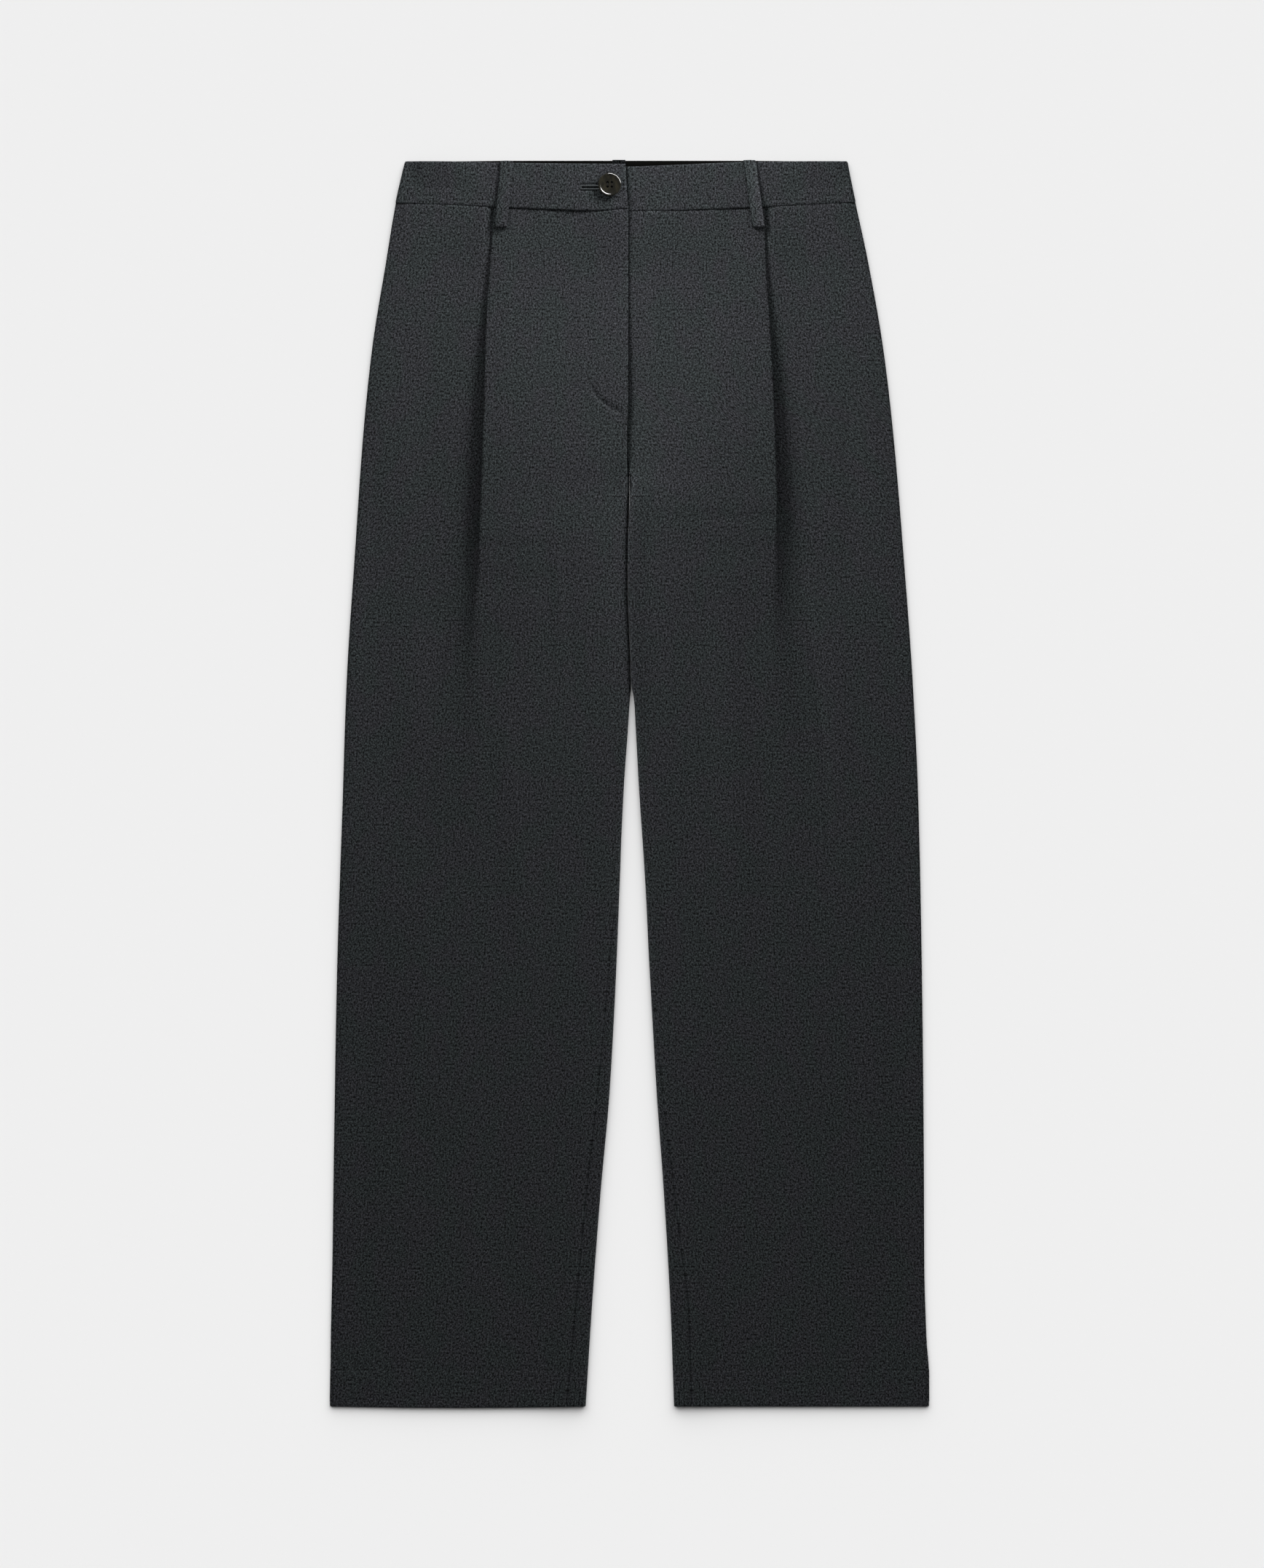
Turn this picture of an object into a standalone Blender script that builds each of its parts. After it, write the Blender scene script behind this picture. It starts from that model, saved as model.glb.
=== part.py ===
"""Pleated dress trousers lying flat, front side up.

Two front panels with one pleat each, two back panels, a waistband in three lengths, belt
loops and a button. Every piece of cloth is a closed wall lofted through sections. A section
is worked out across the leg at one distance down from the waist, as a path of the cloth's
middle line that is then given its thickness. Sizes are in millimetres, and the metres of
the scene come in only where a mesh is made. x runs to the wearer's left, y up towards the
waist and z off the surface that the trousers lie on.
"""

import bisect
import math
from typing import NamedTuple

import bmesh
import bpy

MM = 0.001

# Cloth
CLOTH = 1.05  # one layer of cloth
HALF = CLOTH / 2
GAP = 0.3  # between two pieces, at a seam or where one lies on another
BACK_HEIGHT = HALF  # middle line of the backs, which lie on the floor
LAID_HEIGHT = CLOTH + GAP + HALF  # middle line of a layer that lies on a back
EDGE_ROLL = 2.6  # cloth from the crest of a leg's rounded side to the middle of that side
EDGE_RADIUS = EDGE_ROLL / (math.pi / 2)
EDGE_HEIGHT = BACK_HEIGHT + 2 * EDGE_RADIUS  # middle line of a front at a rounded side
SEAM = GAP / 2  # half of a seam's gap, taken from each piece
WAIST_GAP = 0.5  # between the panels and the waistband above them

# Lengths down from the top edge of the waistband
TOP_EDGE = -2.0  # highest point, the fold of the loop at the centre back
HEM = 1025.4
HEM_BELLY = {"right": 1.2, "left": 0.0}  # how far the hem's middle hangs below its ends
HEM_TURN_UP = 30.0
HEM_EXTRA = 0.7  # more thickness inside, where the hem is turned up
PANEL_TOP = 34.2  # nominal top edge of the panels
SEAM_FADE = 110.0  # length over which the waist seam's curve straightens out
CROTCH = 330.0  # below it each leg is a tube of its own
MIDDLE = (HEM + HEM_BELLY["right"] + TOP_EDGE) / 2

# Waistband
BAND_HALF = 1.3  # half the thickness of the doubled front bands
BACK_BAND_HALF = 1.1
FRONT_BAND_HEIGHT = 4.5  # middle line of the front bands
BAND_RADIUS = (FRONT_BAND_HEIGHT - BACK_BAND_HALF) / 2  # of the fold round a side
BAND_ROUND = 1.0  # a band's long edges thin out over this
LAP_HEIGHT = FRONT_BAND_HEIGHT + 2 * BAND_HALF + GAP  # middle line of the lapping end
LAP_FLAT = 38.0  # the lap lies level over this much from the centre
LAP_SLOPE_END = 64.0  # and is down on the back band from here
UNDERLAP = 38.0  # how far the left band runs under the right
LAP_TOP_EDGE, LAP_BOTTOM_EDGE = 3.5, 1.4  # where the lapping end is cut, top and bottom

# Fly and waist seam
FLY_LIFT = 2.6  # the fronts rise to the band at the centre
FLY_LIFT_WIDTH = 38.0
FLY_LIFT_FADE = 62.0
SIDE_LIFT = 0.9  # and a little between pleat and side
RISE_START = 2.0  # the left front starts to rise this far from the centre line

# Belt loops
PLEAT_TOP = LAID_HEIGHT + 2.8  # middle line of the cloth over a pleat, which the loops clear
LOOP_WIDTH = 10.2
LOOP_HOOK = 2.8  # how far a loop's top end reaches down over the band's edge
LOOP_END_RADIUS = 0.7
LOOP_TURN_UNDER = 7.0
LOOP_CORNER = 1.0  # radius where it bends over the edge
BACK_LOOP_FROM, BACK_LOOP_TO = -14.2, -3.4
BACK_LOOP_FOOT = 0.2
BACK_LOOP_TAIL = 3.0  # how far down it reaches inside the band

# Button and buttonhole
BUTTON_ACROSS, BUTTON_DOWN = 16.35, 18.7  # on the wearer's right
BUTTON_LIFT = 0.9  # clear of the band
BUTTON_MIDDLE = 1.0  # half way up its middle
SHANK_RADIUS = 1.2
BUTTON_HOLE_RADIUS = 0.95
BUTTON_HOLE_PITCH = 3.7
BUTTONHOLE_END = 39.4
BUTTONHOLE_DOWN = 20.4
BUTTONHOLE_WIDTH = 1.2
EYELET_RADIUS = 2.0
EYELET_STEPS = 16
CUT_REACH = 2.6  # how far a cutter reaches past a middle line, up and down
ROUND_STEPS = 36


class Ring(NamedTuple):
    """A corner of the button's profile, above its flat back."""

    radius: float
    height: float


BUTTON_DISC = (
    Ring(6.8, 0.0),
    Ring(8.8, 0.7),
    Ring(9.5, 1.6),
    Ring(9.2, 2.4),
    Ring(8.6, 2.7),
    Ring(7.9, 2.6),
    Ring(7.1, 2.0),
    Ring(5.6, 1.75),
    Ring(0.0, 1.65),
)


class Pair(NamedTuple):
    """A size of the right and the left side at a distance down."""

    down: float
    right: float
    left: float


OUTER_EDGE = (  # from the centre line to each side's outline
    Pair(0, 185.0, 179.5),
    Pair(12, 188.0, 181.8),
    Pair(34, 192.9, 186.3),
    Pair(83, 201.0, 196.8),
    Pair(155, 212.5, 209.4),
    Pair(227, 219.9, 217.8),
    Pair(323, 226.6, 225.9),
    Pair(431, 233.5, 233.7),
    Pair(527, 236.7, 238.2),
    Pair(671, 241.4, 241.2),
    Pair(815, 243.9, 242.7),
    Pair(911, 245.2, 243.2),
    Pair(971, 246.5, 245.0),
    Pair(997, 246.7, 246.9),
    Pair(1026, 247.2, 247.0),
)

INNER_EDGE = (  # from the centre line to each leg's inner outline, past it where negative
    Pair(34, 1.15, -0.85),
    Pair(250, 1.1, -0.7),
    Pair(320, 0.8, -0.4),
    Pair(390, -0.4, 0.9),
    Pair(428, -1.1, 1.7),
    Pair(436, -0.9, 2.5),
    Pair(443, -0.5, 3.6),
    Pair(467, 1.0, 4.8),
    Pair(515, 4.4, 7.4),
    Pair(587, 7.8, 12.2),
    Pair(671, 11.2, 16.8),
    Pair(767, 16.5, 22.3),
    Pair(851, 24.0, 28.3),
    Pair(947, 31.2, 33.8),
    Pair(1026, 36.2, 36.6),
)

INSEAM_ROLL = (  # how far each back comes round the inner side on to the front
    Pair(560, 0.0, 0.0),
    Pair(600, 1.5, 0.0),
    Pair(640, 6.0, 1.0),
    Pair(700, 8.5, 3.3),
    Pair(790, 11.6, 7.0),
    Pair(880, 13.3, 11.5),
    Pair(950, 14.6, 16.0),
    Pair(1026, 17.0, 15.6),
)

CREASE_LINE = (  # each pleat's folded edge, and the line that it fades into down the leg
    Pair(34, 111.5, 111.0),
    Pair(83, 115.1, 112.4),
    Pair(131, 118.2, 115.5),
    Pair(196, 120.0, 118.9),
    Pair(287, 123.1, 121.8),
    Pair(335, 125.5, 122.4),
    Pair(383, 130.6, 124.5),
    Pair(440, 134.0, 130.0),
    Pair(600, 138.0, 138.0),
    Pair(1026, 141.0, 141.0),
)


class Pleat(NamedTuple):
    """How a pleat is folded at a distance down."""

    down: float
    depth: float  # cloth folded back under
    turn: float  # degrees that each of its two bends turns through
    bend: float  # cloth in each bend
    height: float  # middle line of the layer under it


PLEAT = (
    Pleat(34, 26.0, 180.0, 2.2, LAID_HEIGHT),
    Pleat(120, 23.0, 180.0, 2.2, LAID_HEIGHT),
    Pleat(220, 15.0, 180.0, 2.2, LAID_HEIGHT),
    Pleat(300, 5.0, 180.0, 2.2, LAID_HEIGHT),
    Pleat(332, 0.4, 172.0, 2.2, 1.95),
    Pleat(350, 0.4, 80.0, 2.4, 2.1),
    Pleat(375, 0.4, 33.0, 5.0, 2.35),
    Pleat(400, 0.4, 16.0, 9.0, 2.7),
    Pleat(430, 0.4, 8.5, 14.0, 3.2),
    Pleat(480, 0.4, 4.0, 20.0, 3.8),
    Pleat(560, 0.4, 1.4, 24.0, 4.4),
    Pleat(680, 0.4, 0.4, 26.0, 4.7),
    Pleat(1026, 0.4, 0.2, 28.0, 4.7),
)


class FrontEdge(NamedTuple):
    """The fronts' edges at the centre front: height of the middle line, and curl in degrees."""

    down: float
    right: float
    left: float
    turn: float
    underlap: float  # how far the left front runs under the right


FRONT_EDGE = (
    FrontEdge(34, 4.2, LAID_HEIGHT, 8.0, 33.0),
    FrontEdge(64, 3.8, LAID_HEIGHT, 8.0, 33.0),
    FrontEdge(124, 3.45, LAID_HEIGHT, 8.0, 33.0),
    FrontEdge(186, 3.45, LAID_HEIGHT, 8.0, 33.0),
    FrontEdge(206, 3.45, LAID_HEIGHT, 8.0, 17.0),
    FrontEdge(222, 3.45, LAID_HEIGHT, 8.0, 0.0),
    FrontEdge(252, 3.5, 2.7, 14.0, 0.0),
    FrontEdge(290, 3.75, 3.65, 45.0, 0.0),
    FrontEdge(316, EDGE_HEIGHT, EDGE_HEIGHT, 75.0, 0.0),
    FrontEdge(330, EDGE_HEIGHT, EDGE_HEIGHT, 90.0, 0.0),
)


class BackEdge(NamedTuple):
    """The backs' edges at the centre back, which turn up to the inseam below it."""

    down: float
    to_inner: float  # share of the way from the centre line to the leg's inner outline
    turn: float


BACK_EDGE = (
    BackEdge(34, 0.0, 1.0),
    BackEdge(222, 0.0, 1.0),
    BackEdge(252, 0.2, 14.0),
    BackEdge(290, 0.7, 45.0),
    BackEdge(316, 1.0, 75.0),
    BackEdge(330, 1.0, 90.0),
)


class BandEdge(NamedTuple):
    """Where the waistband's long edges are, down from its top, at a distance across."""

    across: float
    right_top: float
    right_bottom: float
    left_top: float
    left_bottom: float
    back_top: float


BAND_EDGE = (
    BandEdge(-40, 1.6, 38.8, 4.2, 37.6, -0.6),
    BandEdge(-12, 1.6, 38.8, 4.1, 38.0, -0.6),
    BandEdge(0, 1.6, 38.8, 3.9, 40.8, -0.6),
    BandEdge(27, 1.6, 40.6, 2.8, 40.6, -0.6),
    BandEdge(95, 0.6, 38.2, 0.1, 38.2, -0.6),
    BandEdge(150, 0.0, 35.6, 0.0, 35.3, -0.1),
    BandEdge(194, 0.0, 34.2, 0.0, 33.2, 0.0),
)
BACK_BAND_DROP = 38.2  # the back band's lower edge at the centre back


class BandRow(NamedTuple):
    """A section along a band: its place between the long edges and its share of thickness."""

    share: float
    inset: float
    thickness: float


BAND_ROWS = (
    BandRow(0.0, 0.0, 0.45),
    BandRow(0.0, BAND_ROUND, 1.0),
    BandRow(1.0, -BAND_ROUND, 1.0),
    BandRow(1.0, 0.0, 0.45),
)


class Fold(NamedTuple):
    """A soft ridge, or a trough where its height is negative, on one front."""

    side: str
    down_from: float
    across_from: float
    down_to: float
    across_to: float
    half_width: float
    height: float


FOLDS = (
    Fold("right", 130, 172.0, 430, 158.0, 24.0, -0.8),
    Fold("right", 400, 104.0, 660, 82.0, 18.0, 0.6),
    Fold("right", 230, 73.0, 430, 62.0, 15.0, -0.5),
    Fold("right", 520, 175.0, 900, 190.0, 26.0, -0.6),
    Fold("left", 340, 66.0, 700, 86.0, 22.0, 0.6),
    Fold("left", 240, 134.0, 620, 163.0, 16.0, -0.8),
    Fold("left", 360, 190.0, 640, 196.0, 18.0, 0.5),
    Fold("left", 640, 150.0, 960, 140.0, 24.0, -0.6),
)
FOLD_END = 0.3  # share of a fold's length over which it comes and goes
FOLD_CLEAR = 12.0  # a fold dies away over this much beside an edge or a pleat
FOLD_MEETS_PLEAT = 350.0  # below this, where the pleat has opened, folds run on across it


class Loop(NamedTuple):
    """A belt loop on one front, from the band's top edge to its turned-under end."""

    side: str
    top_across: float
    end_across: float
    end_down: float


LOOPS = (
    Loop("right", 101.2, 106.0, 54.5),
    Loop("left", 98.7, 106.2, 54.5),
)

FRONT_STATIONS = (
    34.2, 46, 64, 90, 124, 158, 186, 206, 214, 222, 252, 290, 316, 330, 350, 375, 400,
    428, 436, 443, 467, 515, 587, 640, 710, 790, 880, 950, 994.5, 997, 1025.4,
)
BACK_STATIONS = (
    34.2, 64, 124, 186, 222, 252, 290, 316, 330, 375, 428, 436, 443, 467, 515,
    587, 640, 710, 790, 880, 950, 994.5, 997, 1025.4,
)
CENTRE_STEPS = {"right": 9, "left": 11}
EDGE_STEPS = 3
FOLD_STEPS = 4
OUTER_STEPS = 8
WRAP_STEPS = 2
INNER_ARC_STEPS = 6
FLOOR_STEPS = 3
WRAP_START = 0.5  # cloth kept for the wrapped strip where it is only just starting
BAND_STEPS = 16
LOOP_STEPS = 4
CORNER_STEPS = 3
SHARP_ANGLE = 50.0  # degrees between faces, from which an edge is shaded sharp

SIGN = {"right": -1.0, "left": 1.0}

WOOL = (0.036, 0.041, 0.044, 1.0)
WOOL_ROUGHNESS = 0.92
HORN = (0.018, 0.014, 0.010, 1.0)
HORN_ROUGHNESS = 0.28


def clear_scene():
    """Removes every object that the scene starts with."""
    for item in list(bpy.data.objects):
        bpy.data.objects.remove(item, do_unlink=True)


def finish(name, colour, roughness):
    """A material of one colour."""
    material = bpy.data.materials.new(name)
    material.use_nodes = True
    shader = material.node_tree.nodes["Principled BSDF"]
    shader.inputs["Base Color"].default_value = colour
    shader.inputs["Roughness"].default_value = roughness
    shader.inputs["Metallic"].default_value = 0.0
    material.diffuse_color = colour
    return material


def slope_at(keys, values, row):
    """The slope of a table's curve at a row: none at a turn, so the curve never overshoots."""
    if row == 0 or row == len(keys) - 1:
        low = min(row, len(keys) - 2)
        return (values[low + 1] - values[low]) / (keys[low + 1] - keys[low])
    before = (values[row] - values[row - 1]) / (keys[row] - keys[row - 1])
    after = (values[row + 1] - values[row]) / (keys[row + 1] - keys[row])
    if before * after <= 0:
        return 0.0
    return 2 * before * after / (before + after)


def read(rows, column, at):
    """One column of a table at a value of its first column, on a smooth curve."""
    keys = [row[0] for row in rows]
    values = [getattr(row, column) for row in rows]
    if at <= keys[0]:
        return values[0]
    if at >= keys[-1]:
        return values[-1]
    row = bisect.bisect_right(keys, at) - 1
    span = keys[row + 1] - keys[row]
    t = (at - keys[row]) / span
    start, end = slope_at(keys, values, row) * span, slope_at(keys, values, row + 1) * span
    rest = 1 - t
    low = values[row] * (1 + 2 * t) * rest * rest + values[row + 1] * t * t * (3 - 2 * t)
    return low + start * t * rest * rest - end * t * t * rest


def mix(low, high, share):
    """A value part of the way from one to another."""
    return low + (high - low) * share


def ease(share):
    """0 to 1 with a soft start and end, held outside them."""
    share = min(1.0, max(0.0, share))
    return share * share * (3 - 2 * share)


def crown(share):
    """0 to 1 with a firm start and a soft end, held outside them."""
    share = min(1.0, max(0.0, share))
    return share * (2 - share)


def walk(start, heading, pieces):
    """A path of straight and bent pieces, each (length, turn in radians, steps)."""
    across, height = start
    points = []
    for length, turn, steps in pieces:
        step, bend = length / steps, turn / steps
        chord = step * (math.sin(bend / 2) / (bend / 2) if abs(bend) > 1e-6 else 1.0)
        for _ in range(steps):
            heading += bend / 2
            across += chord * math.cos(heading)
            height += chord * math.sin(heading)
            heading += bend / 2
            points.append((across, height))
    return points


def offset(path, distance):
    """The path moved sideways, to its left where the distance is positive."""
    headings = [math.atan2(end[1] - start[1], end[0] - start[0]) for start, end in zip(path, path[1:])]
    turns = [after - before for before, after in zip(headings, headings[1:])]
    bends = [math.remainder(turn, 2 * math.pi) for turn in turns]
    moved = []
    for k, (across, height) in enumerate(path):
        if 0 < k < len(path) - 1:
            half_bend = bends[k - 1] / 2
            heading, reach = headings[k - 1] + half_bend, distance / math.cos(half_bend)
        elif k == 0:
            heading, reach = headings[0] - bends[0] / 2, distance
        else:
            heading, reach = headings[-1] + bends[-1] / 2, distance
        moved.append((across - reach * math.sin(heading), height + reach * math.cos(heading)))
    return moved


def loft(name, material, sections):
    """A closed wall through its sections, each (outer points, inner points) in millimetres."""
    mesh = bmesh.new()
    rows = []
    for section in sections:
        rows.append([[mesh.verts.new([c * MM for c in point]) for point in line] for line in section])
    last = len(rows[0][0]) - 1
    for (outer, inner), (next_outer, next_inner) in zip(rows, rows[1:]):
        for k in range(last):
            mesh.faces.new((outer[k], outer[k + 1], next_outer[k + 1], next_outer[k]))
            mesh.faces.new((inner[k + 1], inner[k], next_inner[k], next_inner[k + 1]))
        for k in (0, last):
            mesh.faces.new((outer[k], next_outer[k], next_inner[k], inner[k]))
    for outer, inner in (rows[0], rows[-1]):
        for k in range(last):
            mesh.faces.new((outer[k], outer[k + 1], inner[k + 1], inner[k]))
    bmesh.ops.recalc_face_normals(mesh, faces=mesh.faces)
    return add_object(name, material, mesh)


def add_object(name, material, mesh):
    """A named object from a bmesh, shaded smooth but for its sharp edges."""
    data = bpy.data.meshes.new(name)
    mesh.to_mesh(data)
    mesh.free()
    data.materials.append(material)
    data.shade_smooth()
    data.set_sharp_from_angle(angle=math.radians(SHARP_ANGLE))
    item = bpy.data.objects.new(name, data)
    bpy.context.scene.collection.objects.link(item)
    return item


def waist_seam(side, across, back=False):
    """How far down the waistband's lower edge is; at the back it runs straight to each side."""
    if not back:
        return read(BAND_EDGE, side + "_bottom", across)
    side_edge = BAND_EDGE[-1]
    return mix(BACK_BAND_DROP, getattr(side_edge, side + "_bottom"), across / side_edge.across)


def place(side, across, down, height, back=False):
    """A panel's point: its top follows the waist seam and its hem hangs in a slight belly."""
    sag = waist_seam(side, across, back) + WAIST_GAP - PANEL_TOP
    low = down + sag * (1 - ease((down - PANEL_TOP) / SEAM_FADE))
    inner, outer = read(INNER_EDGE, side, HEM), read(OUTER_EDGE, side, HEM)
    middle = math.sin(math.pi * min(1.0, max(0.0, (across - inner) / (outer - inner))))
    low += HEM_BELLY[side] * middle * ease((down - HEM + HEM_TURN_UP) / HEM_TURN_UP)
    return (SIGN[side] * across, MIDDLE - low, height)


def hem_extra(down):
    """More thickness inside at the hem, where the cloth is turned up."""
    return HEM_EXTRA if down > HEM - HEM_TURN_UP + 1 else 0.0


def fold_height(side, across, down):
    """What the soft folds add to a front's height."""
    total = 0.0
    for fold in FOLDS:
        if fold.side != side or not fold.down_from < down < fold.down_to:
            continue
        along = (down - fold.down_from) / (fold.down_to - fold.down_from)
        off = abs(across - mix(fold.across_from, fold.across_to, along)) / fold.half_width
        if off < 1:
            ends = ease(along / FOLD_END) * ease((1 - along) / FOLD_END)
            total += fold.height * math.cos(off * math.pi / 2) ** 2 * ends
    return total


def fly_lift(across, down):
    """How much the fronts rise to the waistband at the centre."""
    down_share = ease((down - PANEL_TOP) / FLY_LIFT_FADE)
    return FLY_LIFT * math.exp(-((across / FLY_LIFT_WIDTH) ** 2)) * (1 - down_share)


def inner_side(side, down, path):
    """The cloth's middle line round a leg's inner side, by its length from the side's extreme."""
    extreme = read(INNER_EDGE, side, down) + HALF
    if abs(path) > EDGE_ROLL:
        level = EDGE_HEIGHT if path > 0 else BACK_HEIGHT
        return (extreme + EDGE_RADIUS + abs(path) - EDGE_ROLL, level)
    angle = path / EDGE_RADIUS
    across = extreme + EDGE_RADIUS * (1 - math.cos(angle))
    return (across, BACK_HEIGHT + EDGE_RADIUS * (1 + math.sin(angle)))


def outer_side(side, down, path):
    """The same round a leg's outer side."""
    extreme = read(OUTER_EDGE, side, down) - HALF
    angle = path / EDGE_RADIUS
    across = extreme - EDGE_RADIUS * (1 - math.cos(angle))
    return (across, BACK_HEIGHT + EDGE_RADIUS * (1 + math.sin(angle)))


def outer_rolled(side, down, upward):
    """A panel's quarter round at its outer side, from its level part to the side seam."""
    ways = [upward * mix(EDGE_ROLL, SEAM, k / EDGE_STEPS) for k in range(EDGE_STEPS + 1)]
    return [outer_side(side, down, way) for way in ways]


def curled_edge(end, level, turn, steps, upward):
    """An edge that curls off its level by an angle, from its end inwards."""
    turn = math.radians(turn)
    radius = EDGE_ROLL / turn
    points = []
    for k in range(steps + 1):
        angle = turn * (1 - k / steps)
        across = end + radius * (math.sin(turn) - math.sin(angle))
        points.append((across, level + upward * radius * (1 - math.cos(angle))))
    return points


def front_inner_edge(side, down):
    """A front's first few millimetres, from its edge: lapped at the fly, rolled on the leg."""
    if down >= CROTCH:
        seam = read(INSEAM_ROLL, side, down) + SEAM
        ways = [seam + EDGE_ROLL * k / EDGE_STEPS for k in range(EDGE_STEPS + 1)]
        return [inner_side(side, down, way) for way in ways]
    turn = read(FRONT_EDGE, "turn", down)
    end = read(INNER_EDGE, side, down) + HALF * math.sin(math.radians(turn))
    if side == "left":
        end -= read(FRONT_EDGE, "underlap", down)
    level = read(FRONT_EDGE, side, down)
    points = curled_edge(end, level, turn, EDGE_STEPS, -1)
    return [(across, height + fly_lift(across, down)) for across, height in points]


def front_path(side, down):
    """The middle line of a front, from the centre or inseam, through its pleat, to the side."""
    edge = front_inner_edge(side, down)
    start, level = edge[-1]
    level -= fly_lift(start, down) if down < CROTCH else 0.0
    rise = max(start, RISE_START)
    depth = read(PLEAT, "depth", down)
    turn = math.radians(read(PLEAT, "turn", down))
    bend = read(PLEAT, "bend", down)
    low = read(PLEAT, "height", down)
    radius = bend / turn
    drop = 2 * radius * (1 - math.cos(turn)) + depth * math.sin(turn)
    crease = read(CREASE_LINE, side, down) - HALF * math.sin(min(turn, math.pi / 2))
    crease -= radius * math.sin(min(turn, math.pi / 2))
    flat = crease - depth - EDGE_ROLL
    pleated = ease((FOLD_MEETS_PLEAT - down) / FOLD_CLEAR)

    centre = []
    steps = CENTRE_STEPS[side]
    for k in range(1, steps + 1):
        across = mix(start, crease, k / steps)
        height = mix(level, low + drop, crown((across - rise) / (flat - rise)))
        if down < CROTCH:
            height += fly_lift(across, down) * ease((flat - across) / FOLD_CLEAR)
        clear = ease((across - start) / FOLD_CLEAR)
        clear *= mix(1.0, ease((flat - across) / FOLD_CLEAR), pleated)
        centre.append((across, height + fold_height(side, across, down) * clear))

    under_and_out = ((bend, -turn, FOLD_STEPS), (depth, 0.0, 1), (bend, turn, FOLD_STEPS))
    pleat = walk(centre[-1], 0.0, under_and_out)
    rolled = outer_rolled(side, down, 1)

    outer = []
    (begin, begin_height), (end, end_height) = pleat[-1], rolled[0]
    bare = max(begin, crease)
    for k in range(1, OUTER_STEPS):
        across = mix(begin, end, k / OUTER_STEPS)
        share = (across - bare) / (end - bare)
        height = mix(begin_height, end_height, ease(share))
        if share > 0:
            to_band = 1 - ease((down - PANEL_TOP) / FLY_LIFT_FADE)
            height += SIDE_LIFT * math.sin(math.pi * min(1.0, share)) * to_band
            clear = mix(1.0, ease((across - crease) / FOLD_CLEAR), pleated)
            clear *= ease((end - across) / FOLD_CLEAR)
            height += fold_height(side, across, down) * clear
        outer.append((across, height))
    return edge + centre + pleat + outer + rolled


def back_path(side, down):
    """The middle line of a back, from its inner edge, under the leg, to the side."""
    if down >= CROTCH:
        seam = read(INSEAM_ROLL, side, down) - SEAM
        top = min(seam, EDGE_ROLL) - WRAP_START
        ways = [mix(seam, top, k / WRAP_STEPS) for k in range(WRAP_STEPS)]
        ways += [mix(top, -EDGE_ROLL, k / INNER_ARC_STEPS) for k in range(INNER_ARC_STEPS + 1)]
        edge = [inner_side(side, down, way) for way in ways]
    else:
        turn = read(BACK_EDGE, "turn", down)
        inner = read(INNER_EDGE, side, down) + HALF * math.sin(math.radians(turn))
        end = mix(SEAM, inner, read(BACK_EDGE, "to_inner", down))
        edge = curled_edge(end, BACK_HEIGHT, turn, WRAP_STEPS + INNER_ARC_STEPS, 1)
    rolled = outer_rolled(side, down, -1)
    floor = []
    for k in range(1, FLOOR_STEPS):
        floor.append((mix(edge[-1][0], rolled[0][0], k / FLOOR_STEPS), BACK_HEIGHT))
    return edge + floor + rolled


def make_front(side, material):
    """One front panel."""
    sections = []
    for down in FRONT_STATIONS:
        path = front_path(side, down)
        faces = (offset(path, HALF), offset(path, -HALF - hem_extra(down)))
        sections.append([[place(side, a, down, z) for a, z in line] for line in faces])
    return loft("front_" + side, material, sections)


def make_back(side, material):
    """One back panel."""
    sections = []
    for down in BACK_STATIONS:
        path = back_path(side, down)
        faces = (offset(path, -HALF), offset(path, HALF + hem_extra(down)))
        sections.append([[place(side, a, down, z, back=True) for a, z in line] for line in faces])
    return loft("back_" + side, material, sections)


def band_height(side, across):
    """The middle line of a front band: the right one climbs on to the left at the lap."""
    if side == "left":
        return FRONT_BAND_HEIGHT
    climb = 1 - ease((across - LAP_FLAT) / (LAP_SLOPE_END - LAP_FLAT))
    return mix(FRONT_BAND_HEIGHT, LAP_HEIGHT, climb)


def band_side(side, down, angle, half):
    """A band's middle line round the side, by its angle from the extreme."""
    extreme = read(OUTER_EDGE, side, down) - half
    across = extreme - BAND_RADIUS * (1 - math.cos(angle))
    return (across, BACK_BAND_HALF + BAND_RADIUS * (1 + math.sin(angle)))


def band_rolled(side, row, half, upward):
    """A band's end: a quarter round from its level face to the seam at the side."""
    down = mix(0.0, PANEL_TOP, row.share) + row.inset
    seam = SEAM / BAND_RADIUS
    angles = [upward * mix(math.pi / 2, seam, k / EDGE_STEPS) for k in range(EDGE_STEPS + 1)]
    return [band_side(side, down, angle, half) for angle in angles]


def make_front_band(side, material):
    """One front length of the waistband, from the lap or underlap to the side."""
    sections = []
    for row in BAND_ROWS:
        start = -UNDERLAP if side == "left" else mix(LAP_TOP_EDGE, LAP_BOTTOM_EDGE, row.share)
        rolled = band_rolled(side, row, BAND_HALF, 1)
        ways = [mix(start, rolled[0][0], k / BAND_STEPS) for k in range(BAND_STEPS)]
        path = [(across, band_height(side, across)) for across in ways] + rolled
        faces = []
        for line in (offset(path, BAND_HALF * row.thickness), offset(path, -BAND_HALF * row.thickness)):
            points = []
            for across, height in line:
                top = read(BAND_EDGE, side + "_top", across)
                down = mix(top, waist_seam(side, across), row.share) + row.inset
                points.append((SIGN[side] * across, MIDDLE - down, height))
            faces.append(points)
        sections.append(faces)
    return loft("waistband_front_" + side, material, sections)


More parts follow.
